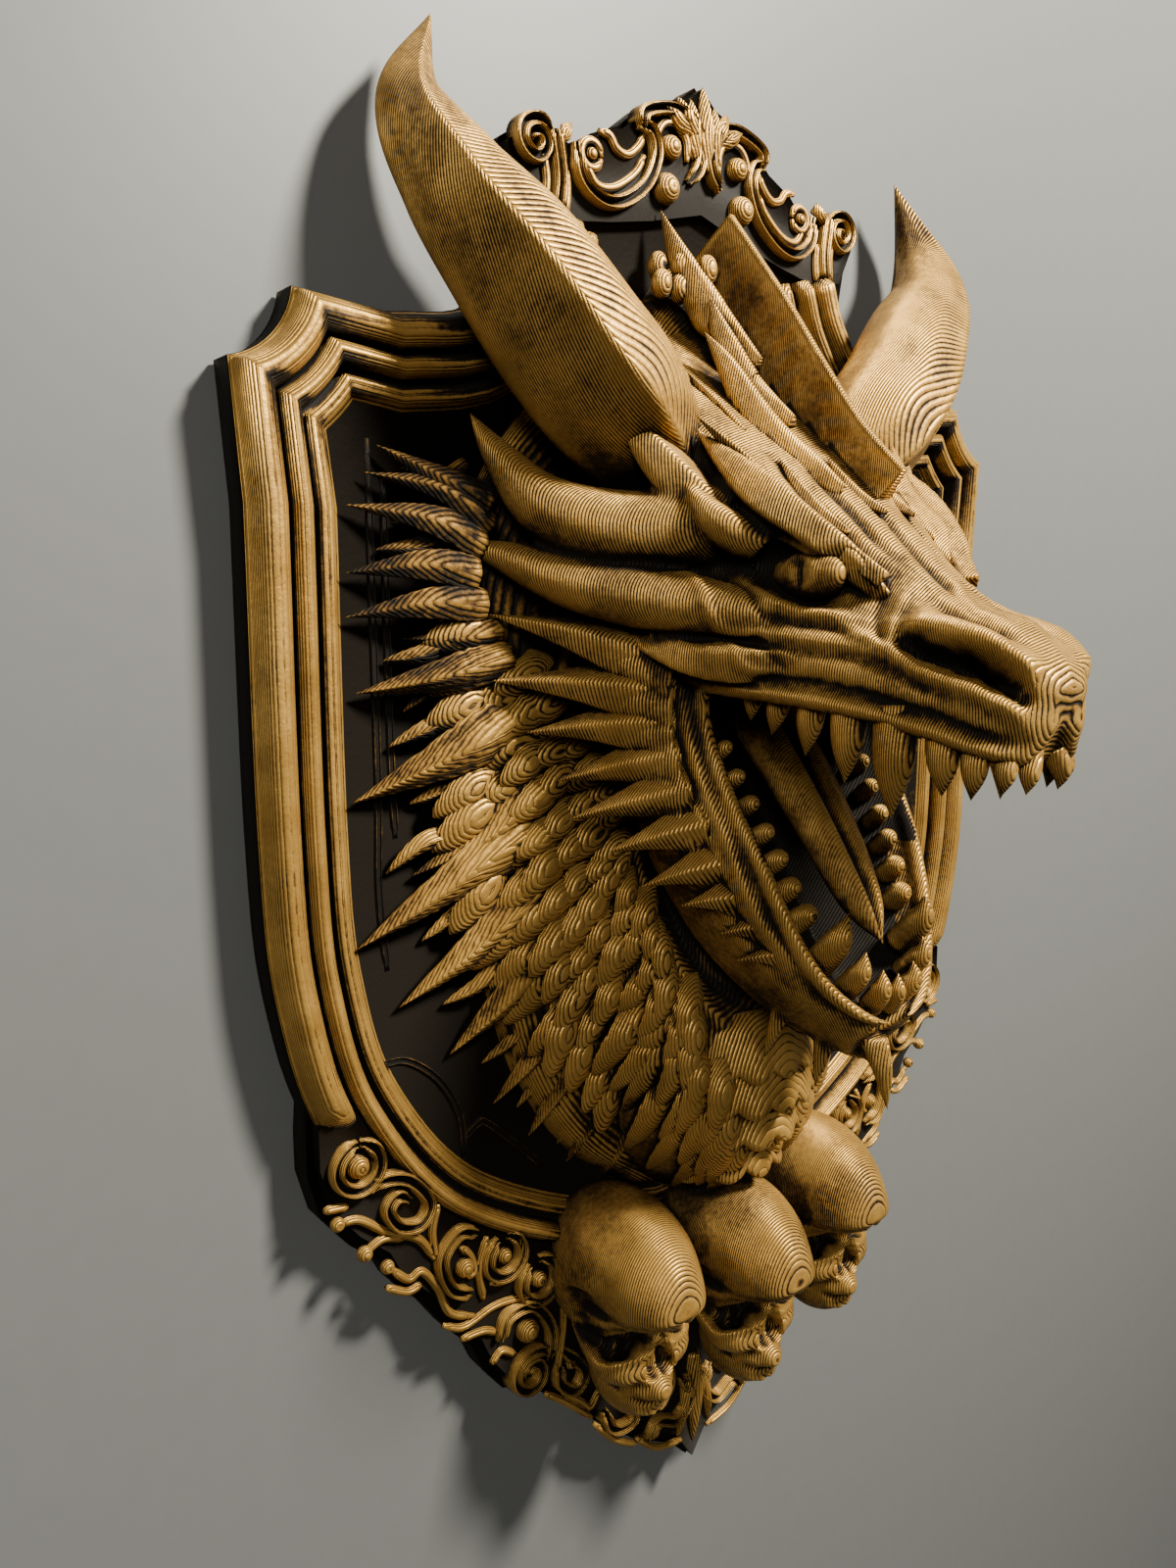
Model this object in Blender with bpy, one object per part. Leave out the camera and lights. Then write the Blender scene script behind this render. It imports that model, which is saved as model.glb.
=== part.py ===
"""A dragon's head wall plaque, printed in one piece.

A shield with a moulded frame lies flat against the wall. A dragon's neck rises along its face, and the
open-mouthed head juts forward. Scrollwork crowns the shield and edges its point, where three skulls sit.
The shape is symmetrical about X = 0. X runs to the right, Z up, and the wall is the plane Y = 0.
Sizes are in millimetres, and a depth is the distance in front of the wall. A point is (x, depth, z).
"""
import math

import bmesh
import bpy
from mathutils import Vector
from mathutils.geometry import delaunay_2d_cdt

MM = 0.001

# Driving sizes of the shield.
TIP = 100.0
HALF_WIDTH = 66.0
FIELD_DEPTH = 3.5
BAND_DEPTH = 5.0
FRAME_DEPTH = 7.0
BAND_TOP = -28.0
CREST_SAMPLES = 3
EAR_CENTRE = (-69.0, 66.5)
EAR_RADIUS = 9.6
EAR_TOP = 65.2
EAR_SIDE = 67.0

# Driving sizes of the skulls.
SKULL_SPACING = 19.5
SKULL_RADII = (8.7, 13.5, 11.5)

# Half the thickness of the plate on the dragon's forehead.
PLATE_HALF = 1.6

# Height of the plates on the neck, and the points along each edge of one.
PLATE_HEIGHT = 7.0
PLATE_POINTS = 11

# Steps along a jaw to which its teeth are rounded.
TOOTH_STEPS = 200

# Share of the united form's triangles that is kept.
TRIANGLES_KEPT = 0.55

BRONZE = (0.45, 0.31, 0.14, 1.0)


# Curves


def spline(points, count):
    """Samples of a Catmull-Rom curve through the points, evenly shared between them."""
    pts = [Vector(p) for p in points]
    ends = [2 * pts[0] - pts[1]] + pts + [2 * pts[-1] - pts[-2]]
    out = []
    for i in range(count):
        u = i / (count - 1) * (len(pts) - 1)
        k = min(int(u), len(pts) - 2)
        t = u - k
        a, b, c, d = ends[k:k + 4]
        out.append(0.5 * (2 * b + (c - a) * t + (2 * a - 5 * b + 4 * c - d) * t ** 2
                          + (3 * b - a - 3 * c + d) * t ** 3))
    return out


def flat_spline(points, count):
    return [(p.x, p.y) for p in spline([(*p, 0) for p in points], count)]


def arc(centre, radius, start, end, count):
    """Points of a flat arc, angles in degrees."""
    steps = [math.radians(start + (end - start) * i / (count - 1)) for i in range(count)]
    return [(centre[0] + radius * math.cos(a), centre[1] + radius * math.sin(a)) for a in steps]


def spiral(centre, outer, inner, start, turns, count):
    """A flat spiral winding in from its outer end."""
    out = []
    for i in range(count):
        t = i / (count - 1)
        r = outer + (inner - outer) * t
        a = math.radians(start + 360 * turns * t)
        out.append((centre[0] + r * math.cos(a), centre[1] + r * math.sin(a)))
    return out


def offset(path, distance):
    """The flat path moved to its left by the distance, with mitred corners."""
    pts = [Vector(p) for p in path]
    out = []
    for i, p in enumerate(pts):
        back = (p - pts[i - 1]).normalized() if i else (pts[1] - p).normalized()
        ahead = (pts[i + 1] - p).normalized() if i < len(pts) - 1 else back
        mean = (back + ahead).normalized()
        stretch = min(1.0 / max(mean.dot(back), 0.3), 2.2)
        out.append((p.x - mean.y * distance * stretch, p.y + mean.x * distance * stretch))
    return out


def mirrored(points):
    return [(-p[0], *p[1:]) for p in points]


# Closed shells, each (points, faces)


def loft(rings):
    """A closed skin through rings of points. A ring of one point is a tip."""
    points, faces, starts = [], [], []
    for ring in rings:
        starts.append(len(points))
        points += [tuple(p) for p in ring]
    for a, b, first, second in zip(starts, starts[1:], rings, rings[1:]):
        n = max(len(first), len(second))
        for i in range(n):
            j = (i + 1) % n
            if len(first) == 1:
                faces.append((a, b + j, b + i))
            elif len(second) == 1:
                faces.append((a + i, a + j, b))
            else:
                faces.append((a + i, a + j, b + j, b + i))
    if len(rings[0]) > 1:
        faces.append(tuple(reversed(range(len(rings[0])))))
    if len(rings[-1]) > 1:
        faces.append(tuple(starts[-1] + i for i in range(len(rings[-1]))))
    return points, faces


def mirror_shell(shell):
    points, faces = shell
    return [(-x, d, z) for x, d, z in points], [tuple(reversed(f)) for f in faces]


def both(shells):
    """The shells and their mirror images."""
    return shells + [mirror_shell(s) for s in shells]


DIAMOND = ((0, 1), (-1, 0), (0, -0.8), (1, 0))
ROUND = ((0, 1), (-0.87, 0.5), (-0.87, -0.5), (0, -1), (0.87, -0.5), (0.87, 0.5))
HORN = ((-0.15, 1), (-0.95, 0.25), (-1, -0.35), (-0.35, -1), (0.6, -0.85), (1, -0.25))


def spike(path, sizes, up=(0, 1, 0), section=DIAMOND, count=4, lens=False):
    """A curved spike that ends in a point. sizes are its half widths and half heights, from the base on.

    A lens is pointed at both ends."""
    centre = spline(path, count)
    first = [(0, 0, 0)] if lens else []
    spans = spline(first + [(w, h, 0) for w, h in sizes] + [(0, 0, 0)], count)
    rings = []
    for i in range(count - 1):
        ahead = (centre[i + 1] - centre[max(i - 1, 0)]).normalized()
        side = ahead.cross(Vector(up)).normalized()
        top = side.cross(ahead)
        rings.append([centre[i] + side * (spans[i].x * a) + top * (spans[i].y * b) for a, b in section])
    if lens:
        rings[0] = [centre[0]]
    rings.append([centre[-1]])
    return loft(rings)


def ridge(path, depth, half_width, height, root=2.0):
    """A raised bead along a flat path of (x, z), standing on the given depth."""
    left, right = offset(path, half_width), offset(path, -half_width)
    return loft([[(a[0], depth - root, a[1]), (p[0], depth + height, p[1]), (b[0], depth - root, b[1])]
                 for a, p, b in zip(left, path, right)])


def slab(outline, low, high):
    """A flat plate between two depths."""
    n = len(outline)
    flat = [Vector(p) for p in outline]
    triangles = delaunay_2d_cdt(flat, [], [list(range(n))], 1, 1e-6)[2]
    points = [(x, depth, z) for depth in (low, high) for x, z in outline]
    faces = [(i, (i + 1) % n, (i + 1) % n + n, i + n) for i in range(n)]
    faces += [tuple(t) for t in triangles]
    faces += [tuple(i + n for i in reversed(t)) for t in triangles]
    return points, faces


def globe(centre, radii, around, up, shape=None):
    """An ellipsoid whose radius may be changed by a shape function of the unit direction."""
    rings = []
    for i in range(up + 1):
        lat = math.pi * (i / up - 0.5)
        ring = []
        for j in range(around if 0 < i < up else 1):
            lon = 2 * math.pi * j / around
            d = Vector((math.cos(lat) * math.cos(lon), math.cos(lat) * math.sin(lon), math.sin(lat)))
            r = shape(d) if shape else 1.0
            x, depth, z = (centre[k] + radii[k] * d[k] * r for k in range(3))
            ring.append((x, max(depth, 1.2), z))
        rings.append(ring)
    return loft(rings)


def guided(guides, count):
    """A closed skin symmetrical about X = 0, through guide curves on its left side that run from back to front.

    The first and the last guide lie on X = 0."""
    lines = [spline(g, count) for g in guides]
    rings = []
    for i in range(count):
        left = [line[i] for line in lines]
        right = [Vector((-p.x, p.y, p.z)) for p in left[1:-1]]
        rings.append(left + right[::-1])
    return loft(rings)


# The shield


def frame_loop(inset):
    """The frame's closed edge moved inwards. Each upper corner, or ear, has a round bite taken out of it."""
    top = offset([(-12, 93), (-20, 88.5), (-26.4, 82.3), (-27.8, 78.8), (-30.2, 73.6), (-37.2, 66.5),
                  (-48, 64.3)], inset)
    radius = EAR_RADIUS + inset
    start = -math.degrees(math.asin((EAR_CENTRE[1] - EAR_TOP + inset) / radius))
    end = -math.degrees(math.acos((-EAR_SIDE - EAR_CENTRE[0] + inset) / radius))
    side = offset(flat_spline([(-HALF_WIDTH, 42), (-HALF_WIDTH, 5), (-64.6, -14), (-59.5, -31), (-47, -48),
                               (-27, -60), (-9, -64.6)], 11), inset)
    left = top + arc(EAR_CENTRE, radius, start, end, 4) + side
    return left + mirrored(left)[::-1]


def crest_outline():
    """Left half of the crest's edge, from the tip out to its corner."""
    return [(0, TIP), (-2.5, 98), (-9, 95.6), (-13.5, 92), (-18, 90), (-21, 87.3), (-24.5, 88.2),
            (-29, 88.4), (-32.5, 86)]


def point_outline():
    """Left half of the scrolled lower edge, from the frame down to the tip."""
    return [(-61.5, -30), (-61.5, -35), (-60, -40.5), (-56.5, -45), (-52.5, -48.5), (-50.8, -52),
            (-46.5, -56.5), (-43, -61.5), (-39.5, -65), (-37.5, -69.5), (-34.5, -73.5), (-30, -75),
            (-26, -79), (-21.5, -83), (-16.5, -87.5), (-10, -93), (-3.5, -96.5), (0, -TIP)]


def frame():
    """The mouldings, one closed ring. They dive under the crest, and the outer bead under the scrolled band."""
    profile = [(0.8, 1.0), (0.8, FIELD_DEPTH + 0.6), (1.7, FRAME_DEPTH - 0.6), (2.8, FRAME_DEPTH),
               (4.6, FRAME_DEPTH - 1.8), (6.4, FRAME_DEPTH - 0.7), (8.0, FIELD_DEPTH + 0.5),
               (10.2, FIELD_DEPTH + 1.3), (11.4, 1.0)]
    loops = [frame_loop(inset) for inset, _ in profile]
    points, faces = [], []
    n = len(loops[0])
    for (inset, depth), loop in zip(profile, loops):
        for i, (x, z) in enumerate(loop):
            limit = FRAME_DEPTH
            if min(i, n - 1 - i) < CREST_SAMPLES:
                limit = FIELD_DEPTH - 0.4
            elif z < BAND_TOP and inset < 4:
                limit = BAND_DEPTH - 0.5
            points.append((x, min(depth, limit), z))
    for k in range(len(profile)):
        for i in range(n):
            j = (i + 1) % n
            low, high = k * n, (k + 1) % len(profile) * n
            faces.append((low + i, low + j, high + j, high + i))
    return points, faces


def shield():
    upper = [p for p in frame_loop(0)[CREST_SAMPLES + 1:] if p[0] < 0 and p[1] > BAND_TOP]
    outline = crest_outline() + upper + point_outline()
    back = slab(outline + mirrored(outline[1:-1])[::-1], 0.0, FIELD_DEPTH)
    outer = [(x * 0.985, z + 0.7) for x, z in point_outline()]
    outer[-1] = (0, 0.5 - TIP)
    inner = [p for p in frame_loop(4.9) if p[0] < 0 and p[1] < BAND_TOP + 2]
    band = slab(outer + mirrored(outer[:-1])[::-1] + mirrored(inner) + inner[::-1], 1.1, BAND_DEPTH)
    half = [(0, TIP - 0.6)] + [(x * 0.985, z - 0.5) for x, z in crest_outline()[1:]]
    half += [(-29, 79.5), (-22, 78.5), (-16, 79.5), (-9, 81), (0, 83.5)]
    crest = slab(half + mirrored(half[1:-1])[::-1], 1.2, BAND_DEPTH)
    return [back, frame(), band, crest]


def crest_scrolls():
    """Raised scrolls of the crest's left half, outer spiral first."""
    return [
        spiral((-28.2, 86.2), 2.7, 0.9, 20, 1.3, 8),
        flat_spline([(-25.4, 88.2), (-24.6, 83), (-24.9, 79.2)], 3),
        flat_spline([(-22, 87.5), (-21.1, 83.4), (-18.1, 81.6), (-14.4, 82.2), (-10.6, 85), (-8.9, 88.8),
                     (-11, 92)], 9),
        flat_spline([(-18.1, 89.6), (-15.5, 88.2), (-13.2, 88), (-11, 90)], 4),
        flat_spline([(-11, 91.6), (-10.4, 94), (-6, 95.2), (-2.6, 94.4), (-0.9, 91.8), (-1.6, 88.4)], 7),
        flat_spline([(-8.4, 89), (-7.4, 93), (-4.3, 93.4), (-3.2, 90.4)], 5),
    ]


def band_scrolls():
    """Raised scrolls of the lower band's left half, from the frame down to the tip."""
    return [
        arc((-56, -34.4), 2.8, 90, 420, 7),
        flat_spline([(-54.5, -37.9), (-52.5, -37), (-49.2, -38.2), (-46.5, -41.8), (-47.9, -44.2),
                     (-50.8, -43.6), (-52.2, -41)], 9),
        flat_spline([(-58.7, -40.9), (-56, -41.2), (-52.3, -44), (-47.9, -46.5), (-45.3, -51.2)], 6),
        flat_spline([(-45, -42.8), (-45.9, -46.2), (-45.3, -51)], 3),
        flat_spline([(-52.2, -48.6), (-49.6, -51.2), (-47.6, -50.9), (-45.3, -54), (-43.6, -58),
                     (-39.9, -60)], 6),
        flat_spline([(-39.4, -48.5), (-42.3, -47.5), (-44.8, -50.2), (-43.5, -54.7), (-40.4, -56.4)], 6),
        arc((-35.2, -53.2), 2.6, 110, 440, 7),
        flat_spline([(-37.8, -49.7), (-39, -53.5), (-38.5, -58.1)], 3),
        arc((-29.6, -58.6), 2.8, 120, 450, 7),
        flat_spline([(-25.8, -62.8), (-31.5, -60.6), (-36.6, -59.8), (-41.6, -60.8)], 5),
        flat_spline([(-36.1, -65), (-35, -61.9), (-31, -61.8), (-27.8, -66.2), (-28, -71)], 6),
        spiral((-31.2, -71.6), 3.3, 0.8, 20, 1.3, 8),
        flat_spline([(-26, -70.3), (-22.2, -74.8), (-23.8, -77.3), (-26.3, -75.2)], 5),
        flat_spline([(-25.8, -77), (-20.7, -81.6), (-18.7, -79.3)], 4),
        flat_spline([(-18.1, -83.4), (-16.9, -86.6), (-12.9, -87.4)], 4),
        flat_spline([(-9.9, -92), (-8, -89.6), (-4.2, -91), (-1.4, -88), (-3, -84.6)], 6),
    ]


def scrollwork():
    """Scrolls on the crest and on the band round the point, with balls in their eyes."""
    shells = [ridge(line, BAND_DEPTH, 0.8, 1.5, 0.8) for line in crest_scrolls() + band_scrolls()]
    balls = [((-6.3, 90.2), 1.6), ((-7, 85.4), 2.0), ((-19.4, 86.6), 1.4), ((-56, -34.4), 1.4),
             ((-35.2, -53.2), 1.0), ((-29.6, -58.6), 1.1), ((-31.6, -65.2), 1.6)]
    shells += [globe((x, BAND_DEPTH + 0.3, z), (r, r, r), 5, 4) for (x, z), r in balls]
    return both(shells)


# The skulls


def bump(direction, towards, width):
    """1 in the direction given, falling to 0 around it."""
    return math.exp(-((direction - Vector(towards).normalized()).length / width) ** 2)


def skull_shape(d):
    """A round brain case with a brow ridge, cheekbones and hollow temples."""
    r = 1.0 - 0.12 * max(0.0, -d.z) ** 2
    for side in (-1, 1):
        r += 0.10 * bump(d, (side * 0.5, 0.9, -0.12), 0.25)
        r += 0.14 * bump(d, (side * 0.85, 0.5, -0.6), 0.3)
        r -= 0.14 * bump(d, (side * 1.0, 0.35, -0.2), 0.25)
    return r


def skull(x, z, depth):
    """A skull without its lower jaw's teeth, its round muzzle resting on the band."""
    muzzle = globe((x, depth + 2.2, z - 13.4), (5.0, 7.0, 6.4), 10, 6)
    return [globe((x, depth, z), SKULL_RADII, 12, 8, skull_shape), muzzle]


def skull_places():
    """Centre of each skull: x, z and depth."""
    return [(-SKULL_SPACING, -58.5, 10.5), (0, -61.0, 12.5), (SKULL_SPACING, -58.5, 10.5)]


def skulls():
    return [shell for place in skull_places() for shell in skull(*place)]


def skull_hollows():
    """Eye sockets and nose holes."""
    shells = []
    for x, z, depth in skull_places():
        front = depth + 11.5
        shells += [globe((x + side * 3.6, front, z - 4.6), (2.7, 4.5, 2.3), 6, 4) for side in (-1, 1)]
        shells.append(globe((x, depth + 11.0, z - 9.3), (1.2, 3.0, 2.3), 5, 4))
    return shells


# The dragon's neck and mane


def body(sections, power, around):
    """A mound along the wall, through sections of (height, half width, depth)."""
    rings = []
    for z, half, depth in sections:
        angles = [math.pi * i / around for i in range(around + 1)]
        rings.append([(-half * math.cos(a), 1.1 + (depth - 1.1) * math.sin(a) ** power, z) for a in angles])
    return loft(rings)


def neck():
    """The neck itself and the wide low bed of the mane behind it."""
    throat = [(-52, 8, 11), (-47, 14, 16.5), (-38, 18.5, 20), (-26, 21, 20.5), (-12, 24, 17), (4, 26, 13),
              (20, 27, 13), (38, 26, 13), (54, 20, 12.5), (68, 12, 9), (76, 6, 5)]
    bed = [(-50, 14, 8), (-42, 24, 9), (-30, 32, 10), (-14, 37, 10), (4, 40, 9.5), (20, 41, 9), (36, 40, 8.5),
           (50, 34, 7.5), (62, 22, 6)]
    return [body(throat, 0.8, 10), body(bed, 0.45, 8)]


def belly_plates():
    """Overlapping plates across the front of the neck, each with a scalloped lower edge that stands proud."""
    shells = []
    for low, half, depth in ((-47.5, 13.5, 17.5), (-41.5, 16, 20.2), (-35.5, 17, 21.8), (-30, 17, 21.8)):
        rings = []
        for height, rise, scallop in ((low, 0.8, 1.1), (low + PLATE_HEIGHT, -0.8, 0)):
            ring = []
            for i in range(PLATE_POINTS):
                a = math.radians(30 + 120 * i / (PLATE_POINTS - 1))
                reach = (depth + rise) * math.sin(a) ** 0.8
                ring.append((-half * math.cos(a), reach, height + scallop * (i % 2)))
            rings.append(ring + [(x * 0.8, d - 4.0, z) for x, d, z in ring[::-1]])
        shells.append(loft(rings))
    return shells


def feather(base, tip, half_width, thick):
    """A flat pointed scale with a keel, broadest near its root at base."""
    base, tip = Vector(base), Vector(tip)
    belly = base.lerp(tip, 0.45) + Vector((0, thick * 0.5, 0))
    return spike([base, belly, tip], [(half_width, thick), (half_width, thick)], count=3)


def mane():
    """Rows of pointed scales on the neck's left, each row given by its tips and its roots, top down."""
    rows = [
        ([(-50.2, 5, 49.2), (-54, 5, 42), (-55, 5, 34), (-54.5, 5, 22), (-54.5, 4.6, 9), (-54.6, 4.6, -8),
          (-42.5, 4.6, -24), (-28, 4.6, -40.5), (-15, 4.6, -51)],
         [(-30, 7, 47), (-35, 7.5, 39), (-36, 8, 32), (-35, 8, 23), (-33, 8, 14), (-30, 8, 0),
          (-27, 8, -14), (-20, 8, -27), (-10, 7, -37)], 13, 3.5, 1.8),
        ([(-40, 9, 46), (-45, 9, 34), (-46, 9, 18), (-44, 9, 0), (-38, 9, -14), (-30, 9, -28),
          (-19, 8, -44)],
         [(-24, 7, 42), (-27, 7, 32), (-28, 7, 20), (-26, 8, 10), (-22, 9, 0), (-17, 9, -14),
          (-10, 8, -32)],
         11, 3.0, 1.5),
        ([(-36, 10.5, 14), (-35, 11, -1), (-30, 12, -14), (-23, 12.5, -28), (-13, 12, -45)],
         [(-23, 9, 20), (-21, 10, 9), (-17, 12, -4), (-12, 13, -18), (-7, 11, -35)], 8, 2.8, 1.5),
        ([(-28, 14, -4), (-24.5, 15.5, -16), (-19, 16, -29)],
         [(-18, 11, 5), (-14, 14, -7), (-11, 14.5, -19)], 4, 2.6, 1.4),
    ]
    shells = []
    for tips, roots, count, half_width, thick in rows:
        for root, tip in zip(spline(roots, count), spline(tips, count)):
            shells.append(feather(root, tip, half_width, thick))
    return both(shells)


# The dragon's head


def head_guides():
    """Guide curves of the left side, from the back of the skull to the nose, bridge first and palate last."""
    bridge = [(0, 4, 74), (0, 16, 62), (0, 26, 53), (0, 35.5, 44.5), (0, 43.6, 36.8), (0, 50.4, 31),
              (0, 55.4, 29.4), (0, 60.0, 25.4), (0, 61.4, 22.4)]
    forehead = [(-8, 4, 70), (-7.5, 16, 60), (-6.5, 26, 51), (-6, 35.5, 42.8), (-4.6, 43.6, 35),
                (-4.4, 50.4, 30.2), (-4.2, 55.4, 28.3), (-3.6, 59.6, 24.9), (-2.2, 61.2, 22.1)]
    brow = [(-17, 4, 62), (-17, 16, 56), (-15.5, 25, 48), (-13, 32.6, 41), (-8, 40.4, 34.8), (-7.4, 48, 30),
            (-7.2, 54.6, 27), (-5.6, 59.0, 23.6), (-3.6, 60.8, 21.4)]
    eye = [(-21, 4, 54), (-19, 16, 47), (-16, 25, 40), (-14, 33, 36), (-10, 41, 31.5), (-8.8, 48.2, 27.2),
           (-8.8, 54.8, 24.3), (-6.4, 58.6, 21.3), (-4.2, 60.4, 20.0)]
    cheek = [(-24, 4, 46), (-22, 15, 38.5), (-19, 25, 32), (-16.5, 34, 28.8), (-13, 42, 26.2),
             (-11, 49.4, 23.4), (-9.8, 55.2, 20.4), (-6.8, 58.4, 18.1), (-4.4, 60.0, 18.1)]
    lip = [(-23, 5, 36), (-20.5, 15, 28), (-18, 25, 23.6), (-16.4, 34, 22), (-13.4, 43.2, 20.6),
           (-11, 50.6, 18.4), (-9, 55.4, 16), (-6.0, 57.8, 14.6), (-3.8, 59.2, 15.8)]
    gum = [(-19, 6, 31), (-17, 16, 23), (-15.4, 26, 20.6), (-14, 35, 20), (-11, 44.2, 18.8), (-8.8, 51, 16.6),
           (-7, 55, 14.8), (-4.2, 57, 13.6), (-2.6, 58.4, 14.6)]
    palate = [(0, 6, 33), (0, 16, 27), (0, 26, 25), (0, 35, 24), (0, 44, 22.4), (0, 50, 19.6), (0, 54.4, 17),
              (0, 56.8, 14.2), (0, 58.2, 14.6)]
    return [bridge, forehead, brow, eye, cheek, lip, gum, palate]


def jaw_guides():
    """Guide curves of the lower jaw's left side from the hinge to the chin: mouth floor, rim, side and keel."""
    floor = [(0, 11, 17), (0, 14, 9), (0, 19, 1), (0, 25, -9), (0, 31, -16), (0, 36.5, -19.5)]
    inside = [(-14.2, 20.5, 22), (-13.2, 22.8, 11), (-12.4, 27.6, 2), (-10.4, 31.6, -7.6), (-7.4, 34.4, -14.4),
              (-2.6, 38.2, -18.8)]
    rim = [(-17, 22, 23), (-16.6, 24.8, 12), (-15.4, 30, 3), (-13.2, 34, -8), (-9.8, 36.4, -15.6),
           (-3.8, 39.8, -20)]
    outside = [(-21, 17, 26), (-21, 18.5, 13), (-20, 21, 3), (-17, 26.5, -7), (-12.4, 31.6, -15.4),
               (-5, 37.4, -22.6)]
    under = [(-17, 4, 16), (-16, 8, 6), (-14, 13, -5), (-11.5, 19, -14), (-8, 27, -20.6), (-3, 35.6, -25)]
    keel = [(0, 3, 12), (0, 6, 2), (0, 11, -8), (0, 18, -16.5), (0, 27, -22.4), (0, 36, -26)]
    return [floor, inside, rim, outside, under, keel]


def horns():
    path = [(-11, 14, 45), (-22.5, 15.7, 54), (-30, 15, 61), (-36.5, 13.2, 69), (-43, 10.6, 77), (-46, 6.6, 86),
            (-42, 4.8, 96.4)]
    sizes = [(5.5, 4.0), (9.2, 8.2), (9.4, 8.8), (8.6, 8), (6.4, 6.2), (3.8, 3.8)]
    return both([spike(path, sizes, section=HORN, count=9)])


def crown_scales():
    """Sharp spikes that lie back over the forehead. Each has a crest of a buried root, a middle and a tip."""
    places = [([(-3.6, 20, 62), (-6, 12.4, 73.3), (-8, 5.6, 82.5)], 1.9, 4.2),
              ([(-3.8, 26, 54), (-5, 18.5, 62.8), (-6, 12.6, 70.9)], 2.3, 4.2),
              ([(-5, 35, 44.8), (-7, 25.2, 54.7), (-9, 14.9, 65.4)], 2.4, 4.4),
              ([(-9.4, 28.6, 47.4), (-11, 22.2, 54), (-12.5, 15.5, 60)], 2.0, 3.6)]
    up = Vector((0, 0.75, 0.66))
    shells = []
    for crest, half_width, height in places:
        root, middle, tip = (Vector(p) for p in crest)
        path = [root - up * height, middle - up * height, tip]
        shells.append(spike(path, [(half_width, height), (half_width, height)], up, count=3))
    return both(shells)


def face_spikes():
    """Spikes of the brow and cheeks, base first."""
    brow_leaf = spike([(-8.5, 43, 33.5), (-13.2, 36, 39.6), (-15.6, 29.5, 44.6), (-17.5, 21.4, 52.5)],
                      [(1.6, 1.6), (2.8, 2.4), (3.0, 2.8)], (0, 1, 0.4), DIAMOND, 5)
    stub = spike([(-15, 30.5, 37.5), (-18.6, 25.8, 41), (-20, 21.9, 45.5)], [(2.8, 2.8), (2.2, 2.2)],
                 section=ROUND)
    upright = spike([(-17.5, 23, 43.5), (-21.4, 17.8, 49.4), (-24, 13.8, 54.9)], [(3.8, 3.4), (2.4, 2.2)])
    upper_cheek = spike([(-15, 25, 41), (-24, 18, 39.8), (-31.5, 12, 42.6), (-36, 8.4, 48.5),
                         (-38, 4.6, 54.4)], [(5.4, 5.0), (5.0, 4.8), (3.9, 3.8), (2.0, 2.0)],
                        section=ROUND, count=6)
    lower_cheek = spike([(-14, 32, 29.5), (-23, 21.5, 32), (-30, 14, 34.2), (-36, 8.4, 37.2),
                         (-41, 4.4, 39)], [(3.0, 3.2), (3.9, 3.6), (3.4, 3.0), (1.8, 1.8)],
                        (0, 1, 0.2), ROUND, 6)
    corner = spike([(-14, 35, 24.5), (-20.5, 25, 25.2), (-25, 14.6, 28.4)], [(2.8, 3.0), (2.8, 2.4)],
                   (0, 1, 0.3))
    return both([brow_leaf, stub, upright, upper_cheek, lower_cheek, corner])


def jaw_spines():
    """Backward spines of the jaw's left side, from the hinge to the chin, flat and blade-like."""
    roots = spline([(-19, 19, 24), (-19.5, 20, 16), (-18.5, 23, 7), (-15.5, 27, -3), (-11, 32, -11)], 10)
    tips = [(-37.5, 8, 30.3), (-38, 9, 22.5), (-34.5, 11, 16.2), (-31.4, 13, 10.3), (-31, 15, 5.8),
            (-28.6, 19, 2), (-25.7, 22, -2.1), (-22.1, 25, -4.5), (-18.4, 28, -8), (-17.6, 30, -11)]
    shells = []
    for i, (root, tip) in enumerate(zip(roots, tips)):
        size = 4.6 - 0.3 * i
        middle = root.lerp(Vector(tip), 0.5) + Vector((0, 0.8, 0.4))
        sizes = [(size * 1.25, size * 0.85), (size * 0.78, size * 0.55)]
        shells.append(spike([root, middle, tip], sizes, (0, 1, 0.3)))
    return both(shells)


def crest_plate():
    """The thin plate that stands on the forehead along X = 0."""
    side = [(7, 84), (10.5, 82.4), (20.7, 69.5), (31.9, 54.2), (39.6, 46.4), (38.4, 43.4), (34, 42), (20, 52),
            (4, 66)]
    return [loft([[(x, d, z) for d, z in side] for x in (PLATE_HALF, -PLATE_HALF)])]


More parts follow.
